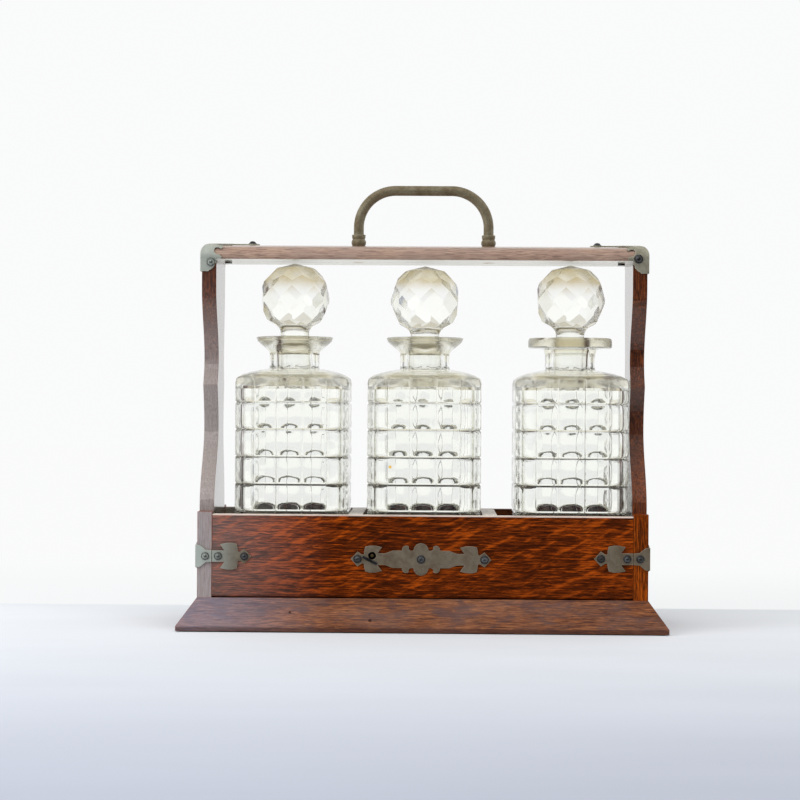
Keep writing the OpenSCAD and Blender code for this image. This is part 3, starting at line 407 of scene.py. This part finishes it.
OAK_POST = oak(
    "oak_post_mat", "Z", 9.2, (0.060, 0.012, 0.0022), (0.20, 0.034, 0.0024), (0.48, 0.094, 0.0045),
    0.3, 0.0, 1.0, 0.34,
)
# pale tones: faded oak, with a painted sheen in them
OAK_BAR = oak(
    "oak_bar_mat", "X", 12.4, (0.27, 0.180, 0.142), (0.375, 0.252, 0.190), (0.46, 0.33, 0.25),
    0.2, 0.35, 0.0, 0.20, bare_and_lit_side=(2, 1.0, (0.90, 0.86, 0.66)), coat=0.62,
)
OAK_INSIDE = oak(
    "oak_inside_mat", "X", 15.9, (0.018, 0.007, 0.005), (0.055, 0.022, 0.013), (0.11, 0.045, 0.026),
    0.1, 0.25, 0.0, 0.42,
)
# painted sheen: pale tones for the grazing sheen on the dividers' tops
OAK_DIVIDER_SHEEN = oak(
    "oak_divider_sheen_mat", "Y", 17.3, (0.42, 0.37, 0.29), (0.66, 0.60, 0.49), (0.80, 0.75, 0.64),
    0.1, 0.2, 0.0, 0.3,
)
PLATED = metal(
    "plated_mount_mat", 1.0, (0.145, 0.108, 0.070), (0.228, 0.188, 0.135), (0.07, 0.055, 0.038),
    0.4, SATIN, pits=0.25, left_metal_glare=1.0,
)
# painted light: a lighter copy of the plated metal, for the glare on the mounts at the top
CORNER_GLARE = metal(
    "corner_mount_glare_mat", 6.0, (0.245, 0.225, 0.165), (0.40, 0.385, 0.295), (0.09, 0.075, 0.05),
    0.4, SATIN, pits=0.3, left_metal_glare=0.7,
)
STUD = metal(
    "stud_metal_mat", 2.0, (0.055, 0.052, 0.050), (0.16, 0.168, 0.18), (0.02, 0.017, 0.014),
    0.9, (0.2, 0.32), pits=0.3, left_metal_glare=0.7, edge_highlight=0.15,
)
HANDLE = metal(
    "handle_metal_mat", 3.0, (0.165, 0.124, 0.068), (0.25, 0.215, 0.14), (0.07, 0.052, 0.03),
    0.4, (0.40, 0.58),
)
BRASS = metal(
    "lock_brass_mat", 4.0, (0.24, 0.17, 0.075), (0.42, 0.31, 0.15), (0.08, 0.05, 0.02),
    0.95, (0.3, 0.5),
)
IRON = metal(
    "lock_iron_mat", 5.0, (0.012, 0.011, 0.010), (0.035, 0.032, 0.030), (0.008, 0.006, 0.005),
    0.6, (0.45, 0.65),
)
BAIZE = baize("baize_mat")
# the middle decanter has the orange speck
FLECKS = [None, (-0.0247, -0.0415, 0.0839), None]
GLASS = [cut_glass(f"cut_glass_{k}_mat", k * 2.3, False, FLECKS[k]) for k in range(3)]
STOPPER_GLASS = [cut_glass(f"stopper_glass_{k}_mat", 9 + k * 1.9, True) for k in range(3)]

LOOKS = {
    "base_pad": BAIZE, "lining_left": BAIZE, "lining_middle": BAIZE, "lining_right": BAIZE,
    "plinth_front": OAK_PLINTH, "plinth_back": OAK_PLINTH,
    "plinth_left": OAK_PLINTH_Y, "plinth_right": OAK_PLINTH_Y,
    "base_board": OAK_INSIDE, "floor_board": OAK_INSIDE,
    "divider_left": OAK_DIVIDER_SHEEN, "divider_right": OAK_DIVIDER_SHEEN,
    "end_left": OAK_END, "end_right": OAK_END,
    "post_front_left": OAK_POST, "post_front_right": OAK_POST,
    "post_back_left": OAK_POST, "post_back_right": OAK_POST,
    "back_board": OAK_BACK, "front_panel": OAK_PANEL, "top_bar": OAK_BAR,
    "corner_left": CORNER_GLARE, "corner_right": CORNER_GLARE, "case_strap_left": PLATED,
    "case_strap_right": PLATED, "panel_strap_left": PLATED, "panel_strap_right": PLATED,
    "lock_plate": PLATED, "keyhole_cover": STUD,
    "corner_studs": STUD, "under_nuts": STUD, "case_studs": STUD, "strap_studs": STUD,
    "plate_studs": STUD, "handle": HANDLE, "handle_collars": HANDLE,
    "bar_screws": BRASS, "handle_nuts": BRASS, "hinge_pins": BRASS, "lock_case": IRON,
    "lock_cap": IRON, "lock_screws": BRASS, "lock_pin": BRASS, "lock_bolt": BRASS,
    "lock_keep": BRASS, "keep_screws": BRASS,
}
for name, mat in LOOKS.items():
    mesh = nodes[name].data
    mesh.materials.clear()
    mesh.materials.append(mat)


# ---------- mesh helpers ----------
def mesh_object(name, bm, mat):
    mesh = bpy.data.meshes.new(name)
    bm.to_mesh(mesh)
    bm.free()
    mesh.materials.append(mat)
    obj = bpy.data.objects.new(name, mesh)
    scene.collection.objects.link(obj)
    return obj


def sharpen(bm, degrees):
    limit = math.radians(degrees)
    for face in bm.faces:
        face.smooth = True
    for edge in bm.edges:
        edge.smooth = len(edge.link_faces) == 2 and edge.calc_face_angle(0.0) < limit


def skin(bm, rings):
    """Quads between rings of equal length, with a fan to a centre point at each end."""
    rows = [[bm.verts.new(p) for p in ring] for ring in rings]
    n = len(rows[0])
    for a, b in zip(rows, rows[1:]):
        for j in range(n):
            bm.faces.new((a[j], a[(j + 1) % n], b[(j + 1) % n], b[j]))
    for row in (rows[0], rows[-1]):
        centre = bm.verts.new(sum((v.co for v in row), Vector()) / n)
        for j in range(n):
            bm.faces.new((row[j], row[(j + 1) % n], centre))


def apply_boolean(piece, tool, operation, degrees):
    """Join the tool to the piece or cut it away, for good, and remove the tool."""
    cut = piece.modifiers.new("cut", "BOOLEAN")
    cut.operation = operation
    cut.solver = "EXACT"
    cut.object = tool
    bpy.context.view_layer.update()
    shape = piece.evaluated_get(bpy.context.evaluated_depsgraph_get()).to_mesh()
    bm = bmesh.new()
    bm.from_mesh(shape)
    piece.modifiers.clear()
    bpy.data.objects.remove(tool)
    bmesh.ops.remove_doubles(bm, verts=bm.verts, dist=0.005 * MM)
    sharpen(bm, degrees)
    bm.to_mesh(piece.data)
    bm.free()



# ---------- decanters ----------
BODY_H = 145.2
SHOULDER = 10.7
LIP = 179.6
HALF = 42.3
STEM = 11.2
GLASS_Z = 35.0
WALL = 6
PLUG_LEN = 24
PLUG_TAPER = 1.5
GROUND_GAP = 0.06
PITCH = 19.85
# places across a cell, close together at its grooves
CELL = [-1.0, -0.95, -0.88, -0.8, -0.6, -0.3, 0.0, 0.3, 0.6, 0.8, 0.88, 0.95]
GROOVES = [11.4 + PITCH * i for i in range(7)]
# one quarter of the plan: three cells across a face, then one on the canted corner
FLAT = [-27.0, -10.2, 8.6, 26.6]


def plan():
    """Points round the decanter: place, outward direction and place across the cell."""
    sides = []
    for k in range(3):
        sides.append(((FLAT[k], -HALF), (FLAT[k + 1], -HALF)))
    sides.append(((FLAT[3], -HALF), (HALF, FLAT[0])))
    out = []
    for quarter in range(4):
        turn = Matrix.Rotation(quarter * math.pi / 2, 2)
        for a, b in sides:
            out.append((turn @ Vector(a), turn @ Vector(b)))
    normals = []
    for a, b in out:
        d = (b - a).normalized()
        normals.append(Vector((d.y, -d.x)))
    points = []
    for k, (a, b) in enumerate(out):
        for u in CELL:
            direction = normals[k] if u > -1 else (normals[k] + normals[k - 1]).normalized()
            points.append((a.lerp(b, (u + 1) / 2), direction, u, k % 4 == 3))
    return points


PLAN = plan()


def pillow(u, v, cant, dish):
    """Height of a cell's surface, hollow on the faces and a cushion on the cants, between V grooves.

    dish is how deep the hollow and the grooves are.
    """
    hollow, groove = dish
    wall = groove * (max(0.0, (abs(u) - 0.8) / 0.2) ** 2 + max(0.0, (abs(v) - 0.86) / 0.14) ** 2)
    if cant:
        return 2.1 * (1 - u**4) - 0.2 - 2.0 * v**6 - 0.6 * wall
    return -hollow * (1 - u * u) * (1 - v * v) - 0.4 * v**4 - wall


def neck_bearings():
    """Bearings of the plan's points, with the nearest ones put on the neck's eight arrises."""
    out = [math.atan2(p.y, p.x) for p, _, _, _ in PLAN]
    for k in range(8):
        arris = math.pi / 8 + k * math.pi / 4
        arris = arris - 2 * math.pi if arris > math.pi else arris
        best = min(range(len(out)), key=lambda i: abs(out[i] - arris))
        out[best] = arris
    return out


BEARINGS = neck_bearings()


def round_ring(radius, z, flats=0.0):
    """Ring at the plan's bearings; flats from 0, round, to 1, eight-sided with hollow flutes."""
    ring = []
    for bearing in BEARINGS:
        part = (bearing + math.pi / 8) % (math.pi / 4) - math.pi / 8
        eight = radius * 0.965 / math.cos(part) - 0.35 * math.cos(part * 4) ** 2
        r = radius * (1 - flats) + min(eight, radius) * flats
        ring.append(Vector((r * math.cos(bearing), r * math.sin(bearing), z)) * MM)
    return ring


def inner_ring(scale, z):
    """Rounded square ring of the decanter's inside."""
    ring = []
    for p, _, _, _ in PLAN:
        bearing = math.atan2(p.y, p.x)
        c, s = abs(math.cos(bearing)), abs(math.sin(bearing))
        r = scale * (HALF - WALL) / (c**6 + s**6) ** (1 / 6)
        ring.append(Vector((r * math.cos(bearing), r * math.sin(bearing), z)) * MM)
    return ring


def blend_rings(a, b, t, z):
    return [Vector((*(p.lerp(q, t)).xy, z * MM)) for p, q in zip(a, b)]


def body_ring(z, v, dish, inset=0.0):
    """Ring of the cut body at height z, where v is the place up its row of cells."""
    ring = []
    for p, d, u, cant in PLAN:
        q = p + d * (pillow(u, v, cant, dish) - inset)
        ring.append(Vector((q.x, q.y, z)) * MM)
    return ring


def decanter_rings(lip_r, slab, dish):
    """Rings from the foot, up the outside, over the lip and down the inside; slab is a flat disc lip."""
    rings = []
    for z, inset in ((0, 3.4), (0.35, 2.2), (1.8, 1.0)):
        rings.append(body_ring(z, 0.0, dish, inset))
    low = GROOVES[0] - PITCH
    for z in (4.0, 7.0, 9.6):
        rings.append(body_ring(z, 2 * (z - low) / PITCH - 1, dish))
    for z0 in GROOVES:
        for v in CELL:
            z = z0 + (v + 1) / 2 * PITCH
            if z < BODY_H - 0.5:
                rings.append(body_ring(z, v, dish))
    edge_v = 2 * (BODY_H - GROOVES[-1]) / PITCH - 1
    edge = body_ring(BODY_H, edge_v, dish)
    rings.append(edge)
    neck = round_ring(19.6, BODY_H + SHOULDER)
    rounded = inner_ring(HALF / (HALF - WALL), 0)
    for n in range(1, 25):
        t = n / 24
        outer = blend_rings(edge, rounded, min(1.0, t * 6), 0)
        rise = t**0.42 + 0.010 * math.sin(t * 30) * (1 - t)
        rings.append(blend_rings(outer, neck, t**1.15, BODY_H + SHOULDER * rise))
    base = BODY_H + SHOULDER
    for dz, r, f in (
        (0.5, 19.2, 0.6), (1.2, 19.1, 0.95), (3.5, 19.0, 1), (6, 18.9, 1), (9, 19.0, 1), (11, 19.1, 1)
    ):
        rings.append(round_ring(r, base + dz, f))
    if slab:
        for drop, r, f in (
            (8.6, 20.2, 0.9), (8.0, 22.5, 0.5), (7.5, lip_r - 1.4, 0.0), (6.9, lip_r - 0.3, 0.0),
            (6.0, lip_r, 0.0), (1.6, lip_r, 0.0), (0.5, lip_r - 0.5, 0.0),
        ):
            rings.append(round_ring(r, LIP - drop, f))
    else:
        for t in (0.0, 0.1, 0.2, 0.35, 0.5, 0.65, 0.8, 0.92):
            r = 19.2 + (lip_r - 19.2) * t**1.12
            rings.append(round_ring(r, LIP - 12.0 + 9.6 * t, (1 - t) ** 3))
        for z, r in ((LIP - 1.7, lip_r - 0.5), (LIP - 1.2, lip_r), (LIP - 0.5, lip_r)):
            rings.append(round_ring(r, z))
    plug = STEM + GROUND_GAP
    for z, r in ((LIP, lip_r - 0.9), (LIP, lip_r - 6), (LIP, plug + 2.5), (LIP, plug + 0.25)):
        rings.append(round_ring(r, z))
    for k in range(7):
        rings.append(
            round_ring(plug - PLUG_TAPER * (k + 0.05) / 6.05, LIP - PLUG_LEN * (k + 0.05) / 6.05)
        )
    hole = round_ring(plug - PLUG_TAPER, 0)
    full = inner_ring(1.0, 0)
    for t in (1.0, 0.9, 0.75, 0.58, 0.4, 0.24, 0.12, 0.04):
        rings.append(blend_rings(full, hole, t, BODY_H - 3.4 + 9.0 * (1 - (1 - t) ** 2.3)))
    for z in (BODY_H - 4.6, BODY_H - 8, 110, 80, 50, 25, 18):
        rings.append(inner_ring(1.0, z))
    for s, z in ((0.985, 15.2), (0.95, 13.7), (0.88, 13.1), (0.6, 13.0), (0.3, 13.0)):
        rings.append(inner_ring(s, z))
    return rings


# ---------- stoppers ----------
def polytope(planes):
    """Vertices of the solid cut out by planes (normal, distance) round the origin."""
    dual = bmesh.new()
    for n, d in planes:
        dual.verts.new(n / d)
    bmesh.ops.convex_hull(dual, input=dual.verts)
    corners = []
    for face in dual.faces:
        a = face.verts[0].co
        n = face.normal
        height = n.dot(a)
        if abs(height) > 1e-9:
            corners.append(n / height)
    dual.free()
    return corners


# rows of facets on the ball: tilt, distance from its centre, bearing in steps
TIERS = [
    (75, 23.8, 0.0), (44, 24.5, 0.5), (18, 24.3, 0.0),
    (-3, 24.3, 0.5), (-24, 25.1, 0.0), (-61, 25.5, 0.5),
]
FACETS = 9
# from the ball's centre up to its crown, and down to its flat foot
BALL_DROP = 24.7
FOOT = 21.9


def facet_ball():
    """Corners of the faceted ball."""
    planes = [(Vector((0, 0, -1)), FOOT)]
    for tilt, distance, phase in TIERS:
        t = math.radians(tilt)
        for i in range(FACETS):
            a = 2 * math.pi * (i + phase) / FACETS + math.radians(8)
            normal = Vector((math.cos(t) * math.cos(a), math.cos(t) * math.sin(a), math.sin(t)))
            planes.append((normal, distance))
    return polytope(planes)


def stopper(name, place, rise, mat):
    """A faceted ball on its stem and ground plug, with its crown the given rise over the lip."""
    centre = rise - BALL_DROP
    bm = bmesh.new()
    for p in facet_ball():
        bm.verts.new((p + Vector((0, 0, centre))) * MM)
    bmesh.ops.remove_doubles(bm, verts=bm.verts, dist=0.02 * MM)
    bmesh.ops.convex_hull(bm, input=bm.verts)
    bmesh.ops.dissolve_limit(bm, angle_limit=math.radians(1.0), verts=bm.verts, edges=bm.edges)
    ball = mesh_object(name, bm, mat)
    foot = centre - FOOT
    bm = bmesh.new()
    low = STEM - 0.5
    profile = [
        (STEM - PLUG_TAPER, -PLUG_LEN), (STEM - 1.0, -16), (STEM - 0.5, -8), (STEM, 0),
        (low, 0.8), (low - 0.1, 2.4), (low + 0.2, foot - 4.0), (low + 0.8, foot - 2.6),
        (low + 1.7, foot - 1.3), (low + 2.9, foot - 0.2), (low + 3.4, foot + 1.5),
    ]
    rings = []
    for r, z in profile:
        bearings = [2 * math.pi * k / ROUND for k in range(ROUND)]
        rings.append([Vector((r * math.cos(a), r * math.sin(a), z)) * MM for a in bearings])
    skin(bm, rings)
    bmesh.ops.recalc_face_normals(bm, faces=bm.faces)
    stem = mesh_object(name + "_stem", bm, mat)
    apply_boolean(ball, stem, "UNION", 12)
    ball.location = Vector(place) * MM
    return ball


# side, place in x, lip radius, disc lip, stopper's rise, stopper's turn, depths of the cutting
BOTTLES = (
    ("left", -97.0, 28.7, False, 55.1, 0.0, (1.05, 1.1)),
    ("middle", 0.6, 28.7, False, 53.6, 13.0, (0.95, 1.2)),
    ("right", 109.2, 31.3, True, 54.8, -9.0, (1.1, 1.15)),
)
for k, (side, x, lip_r, slab, rise, turn, dish) in enumerate(BOTTLES):
    bm = bmesh.new()
    skin(bm, decanter_rings(lip_r, slab, dish))
    bmesh.ops.recalc_face_normals(bm, faces=bm.faces)
    sharpen(bm, 24)
    bottle = mesh_object(f"glass_{side}", bm, GLASS[k])
    bottle.location = Vector((x, 0, GLASS_Z)) * MM
    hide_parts(f"decanter_{side}")
    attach(bottle, f"decanter_{side}")
    plug = stopper(f"glass_stopper_{side}", (x, 0, GLASS_Z + LIP), rise, STOPPER_GLASS[k])
    plug.rotation_euler.z = math.radians(turn)
    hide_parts(f"stopper_{side}")
    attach(plug, f"stopper_{side}")


# ---------- corner mounts ----------
# outline in x and z of what is cut away from the flaps, on the right-hand side
SCALLOPS = [
    (160.6, 255.0), (158.6, 262.1), (156.6, 263.2), (154.6, 265.0), (153.9, 267.2), (152.6, 268.6),
    (150.6, 269.4), (149.3, 270.8), (149.1, 272.4), (150.6, 273.9), (153.0, 274.2), (154.4, 275.6),
    (154.7, 277.6), (153.6, 279.2), (151.6, 279.3), (149.6, 278.3), (148.2, 279.2), (146.6, 280.6),
    (142.8, 281.6), (136.0, 282.5), (120.0, 282.5), (120.0, 255.0),
]


def scalloped(node, side):
    """A corner mount with the cusped edge that its front and back flaps are cut to."""
    bm = bmesh.new()
    bm.from_mesh(nodes[node].data)
    piece = mesh_object(f"{node}_cut", bm, CORNER_GLARE)
    bm = bmesh.new()
    loops = [[bm.verts.new((side * x * MM, y, z * MM)) for x, z in SCALLOPS] for y in (-0.06, 0.06)]
    front, back = loops
    for a, b, c, d in zip(front, front[1:] + front[:1], back[1:] + back[:1], back):
        bm.faces.new((a, b, c, d))
    bm.faces.new(front)
    bm.faces.new(list(reversed(back)))
    bmesh.ops.recalc_face_normals(bm, faces=bm.faces)
    cutter = mesh_object(f"{node}_cutter", bm, PLATED)
    apply_boolean(piece, cutter, "DIFFERENCE", 30)
    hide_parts(node)
    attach(piece, "frame")


scalloped("corner_left", -1)
scalloped("corner_right", 1)


# ---------- studs ----------
def islands(mesh):
    """Corner pairs of the mesh's loose solids, in order of place so that each run gives the same."""
    bm = bmesh.new()
    bm.from_mesh(mesh)
    bmesh.ops.remove_doubles(bm, verts=bm.verts, dist=1e-6)
    found = []
    seen = set()
    for start in bm.verts:
        if start in seen:
            continue
        seen.add(start)
        group = [start]
        for v in group:
            for e in v.link_edges:
                near = e.other_vert(v)
                if near not in seen:
                    seen.add(near)
                    group.append(near)
        co = [v.co for v in group]
        found.append([Vector((f(c[k] for c in co) for k in range(3))) for f in (min, max)])
    bm.free()
    return sorted(found, key=lambda pair: [round(c, 4) for c in pair[0]])


def stud_head(bm, centre, along, radius, depth, turn, slotted):
    """A ringed round head that stands on the metal along the given direction, with its shank behind."""
    side = along.orthogonal().normalized()
    up = along.cross(side)
    # radius and lift of each ring as shares of the head's radius, after the shank's far end
    profile = [
        (0.30, 0.0), (1.0, 0.0), (1.0, 0.10), (0.95, 0.17), (0.88, 0.18), (0.84, 0.12),
        (0.80, 0.15), (0.75, 0.33), (0.64, 0.48), (0.49, 0.59), (0.32, 0.66), (0.15, 0.70),
    ]
    loops = []
    steps = 32
    for r, h, lift in [(0.30, 0.0, -depth)] + [(r, h, h * radius) for r, h in profile]:
        loop = []
        for n in range(steps):
            t = 2 * math.pi * n / steps + turn
            x, y = math.cos(t) * r, math.sin(t) * r
            cut = 0.0
            if slotted and h > 0.3 and abs(math.cos(t - turn - math.pi / 4) * r) < 0.11:
                cut = 0.22 * radius
            loop.append(bm.verts.new(centre + (side * x + up * y) * radius + along * (lift - cut)))
        loops.append(loop)
    for a, b in zip(loops, loops[1:]):
        for n in range(steps):
            bm.faces.new((a[n], a[(n + 1) % steps], b[(n + 1) % steps], b[n]))
    bm.faces.new(list(reversed(loops[0])))
    tip = bm.verts.new(centre + along * (0.71 if not slotted else 0.48) * radius)
    for n in range(steps):
        bm.faces.new((loops[-1][n], loops[-1][(n + 1) % steps], tip))


DOME = 0.62  # height of a plain CAD dome as a share of its radius


def studs(node, body, grow, slotted):
    """Ringed heads in place of a node's plain domes, on the same places and shanks."""
    bm = bmesh.new()
    for k, (low, high) in enumerate(islands(nodes[node].data)):
        size = high - low
        centre = (low + high) / 2
        across = min(range(3), key=lambda a: abs(size[(a + 1) % 3] - size[(a + 2) % 3]))
        way = Vector((0.0, 0.0, 0.0))
        out = centre[across] if across < 2 else 1.0
        way[across] = 1.0 if out > 0 else -1.0
        radius = (size.y if across == 0 else size.x) / 2
        tip = (high if way[across] > 0 else low)[across]
        base = centre.copy()
        base[across] = tip - way[across] * radius * DOME
        depth = size[across] - radius * DOME
        stud_head(bm, base, way, radius * grow, depth, 0.7 * k + 0.3, slotted)
    bmesh.ops.recalc_face_normals(bm, faces=bm.faces)
    sharpen(bm, 38)
    piece = mesh_object(f"{node}_heads", bm, STUD)
    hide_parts(node)
    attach(piece, body)


def collars():
    """Cast collars round the handle's legs: an eight-lobed knop below an open cup."""
    # radius, height, depth of the lobes
    profile = [
        (4.0, 0.0, 0), (4.5, 0.0, 0), (4.75, 0.5, 0.2), (5.1, 1.3, 0.8), (5.3, 2.3, 1),
        (5.3, 3.3, 1), (5.0, 4.3, 0.7), (4.6, 4.9, 0.2), (4.55, 5.2, 0), (4.8, 5.6, 0),
        (5.0, 6.4, 0), (5.1, 8.1, 0), (5.0, 8.4, 0), (4.7, 8.4, 0), (4.6, 8.1, 0),
        (4.45, 6.4, 0), (4.0, 6.0, 0),
    ]
    top = max(z for _, z, _ in profile)
    bm = bmesh.new()
    for low, high in islands(nodes["handle_collars"].data):
        grow = (high.z - low.z) / (top * MM)
        leg_x, leg_y = (low.x + high.x) / 2, (low.y + high.y) / 2
        rings = []
        for r, z, lobe in profile:
            ring = []
            for n in range(ROUND):
                t = 2 * math.pi * n / ROUND
                reach = (r + lobe * 0.42 * (abs(math.cos(4 * t)) - 0.6)) * MM
                x, y = leg_x + reach * math.cos(t), leg_y + reach * math.sin(t)
                ring.append(bm.verts.new((x, y, low.z + z * MM * grow)))
            rings.append(ring)
        for a, b in zip(rings, rings[1:] + rings[:1]):
            for n in range(ROUND):
                bm.faces.new((a[n], a[(n + 1) % ROUND], b[(n + 1) % ROUND], b[n]))
    bmesh.ops.recalc_face_normals(bm, faces=bm.faces)
    sharpen(bm, 40)
    piece = mesh_object("turned_collars", bm, HANDLE)
    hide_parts("handle_collars")
    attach(piece, "frame")


collars()
studs("plate_studs", "front", 1.16, True)
studs("strap_studs", "front", 1.1, False)
studs("case_studs", "frame", 1.1, False)
studs("corner_studs", "frame", 1.0, False)


# ---------- floor ----------
bm = bmesh.new()
bmesh.ops.create_grid(bm, x_segments=2, y_segments=2, size=6.0)
mat, nt = new_material("floor_mat")
place = add(nt, "ShaderNodeTexCoord").outputs["Object"]
y = add(nt, "ShaderNodeSeparateXYZ", {0: place}).outputs[1]
# painted shade: the floor is darker and bluer towards the front
near = span(nt, y, -0.75, 0.132)
near = math_node(nt, "POWER", near, 0.85)
paper = mix(nt, near, (0.50, 0.53, 0.61, 1), (0.86, 0.885, 0.915, 1))
soft = noise(nt, vec(nt, "MULTIPLY", place, (3.0, 9.0, 3.0)), 1.0, 3.0)
uneven = ramp(nt, soft, [(0.3, (0.97, 0.97, 0.97)), (0.7, (1.02, 1.02, 1.02))])
paper = mix(nt, 1.0, paper, uneven, "MULTIPLY")
sheet = add(
    nt,
    "ShaderNodeBsdfPrincipled",
    {"Base Color": paper, "Roughness": 0.9, "Specular IOR Level": 0.1},
)
glow = add(nt, "ShaderNodeEmission", {0: (0.952, 0.960, 0.957, 1), 1: 1.0})
rays = add(nt, "ShaderNodeLightPath")
mirrored = math_node(
    nt, "MAXIMUM", rays.outputs["Is Glossy Ray"], rays.outputs["Is Transmission Ray"]
)
seen = math_node(nt, "MAXIMUM", rays.outputs["Is Camera Ray"], mirrored)
edge = span(nt, y, 0.128, 0.138, 0.0, 0.75)
edge = math_node(nt, "ADD", edge, span(nt, y, 0.15, 0.6, 0.0, 0.25))
both = add(
    nt,
    "ShaderNodeMixShader",
    {0: math_node(nt, "MULTIPLY", seen, edge), 1: sheet.outputs[0], 2: glow.outputs[0]},
)
finish_material(nt, both.outputs[0])
floor = mesh_object("floor", bm, mat)
floor.visible_glossy = False  # the world's lower half stands for it in reflections

# ---------- world ----------
world = bpy.data.worlds.new("studio")
scene.world = world
world.use_nodes = True
nt = world.node_tree
nt.nodes.clear()
way = add(nt, "ShaderNodeTexCoord").outputs["Generated"]
axes = add(nt, "ShaderNodeSeparateXYZ", {0: way})
x, y, z = axes.outputs
behind = span(nt, y, 0.45, 0.94)
above = span(nt, z, 0.3, 0.8, 0.0, 0.75)
through = mix(nt, behind, (0.72, 0.715, 0.615, 1), (1.04, 1.05, 1.035, 1))
through = mix(nt, above, through, (0.62, 0.57, 0.45, 1))
front = span(nt, y, -0.85, -0.2, 1.0, 0.0)
shine = mix(nt, front, (0.92, 0.93, 0.93, 1), (0.03, 0.03, 0.03, 1))
above_front = math_node(nt, "MULTIPLY", span(nt, z, 0.25, 0.6), span(nt, y, -0.1, 0.5, 1.0, 0.0))
shine = mix(nt, above_front, shine, (0.50, 0.48, 0.47, 1))
shine = mix(nt, span(nt, z, -0.8, -0.4, 1.0, 0.0), shine, (0.70, 0.72, 0.76, 1))
lamp_way = Vector((-0.32, -0.80, 0.51)).normalized()
lamp = add(nt, "ShaderNodeVectorMath", {0: way, 1: lamp_way}, operation="DOT_PRODUCT")
lamp = lamp.outputs["Value"]
shine = mix(nt, span(nt, lamp, 0.94, 0.975), shine, (1.5, 1.5, 1.5, 1))
shine = mix(nt, span(nt, x, -0.95, -0.55, 0.8, 0.0), shine, (1.0, 1.0, 1.0, 1))
rays = add(nt, "ShaderNodeLightPath")
shown = mix(nt, rays.outputs["Is Glossy Ray"], (0.62, 0.625, 0.635, 1), shine)
shown = mix(nt, rays.outputs["Is Transmission Ray"], shown, through)
shown = mix(nt, rays.outputs["Is Camera Ray"], shown, (0.955, 0.96, 0.962, 1))
ground = add(nt, "ShaderNodeBackground", {0: shown, 1: 1.0})
out = add(nt, "ShaderNodeOutputWorld")
nt.links.new(ground.outputs[0], out.inputs[0])


# ---------- lamps ----------
def softbox(name, place, aim, size, power, colour):
    data = bpy.data.lights.new(name, "AREA")
    data.shape = "RECTANGLE"
    data.size, data.size_y = size
    data.energy = power
    data.color = colour
    lamp = bpy.data.objects.new(name, data)
    lamp.location = place
    lamp.rotation_euler = (Vector(aim) - Vector(place)).to_track_quat("-Z", "Y").to_euler()
    scene.collection.objects.link(lamp)
    lamp.visible_camera = False
    lamp.visible_glossy = False
    lamp.visible_transmission = False


softbox("lamp_left", (-1.15, -0.75, 0.65), (-0.05, 0.0, 0.12), (0.9, 0.9), 9.0, (0.95, 0.98, 1.0))
softbox("lamp_top", (0.1, -0.5, 1.5), (0.0, 0.0, 0.15), (1.3, 0.9), 9.0, (1.0, 0.99, 0.97))

# ---------- camera ----------
CAMERA_PLACE = Vector((7.59, -1588.68, 168.04))
yaw, pitch, roll = math.radians(0.916), math.radians(-0.007), math.radians(0.377)
look = Vector((-math.sin(yaw) * math.cos(pitch), math.cos(yaw) * math.cos(pitch), math.sin(pitch)))
right = look.cross(Vector((0, 0, 1))).normalized()
up = right.cross(look)
right_r = right * math.cos(roll) + up * math.sin(roll)
up_r = up * math.cos(roll) - right * math.sin(roll)
view = Matrix((right_r, up_r, -look)).transposed().to_4x4()
view.translation = CAMERA_PLACE * MM
cam_data = bpy.data.cameras.new("camera")
cam_data.sensor_width = 36.0
cam_data.lens = 95.38
camera = bpy.data.objects.new("camera", cam_data)
scene.collection.objects.link(camera)
camera.matrix_world = view
scene.camera = camera

scene.view_settings.view_transform = "Standard"
# cut glass needs many inner reflections
scene.cycles.max_bounces = 40
scene.cycles.transmission_bounces = 40
scene.cycles.glossy_bounces = 24
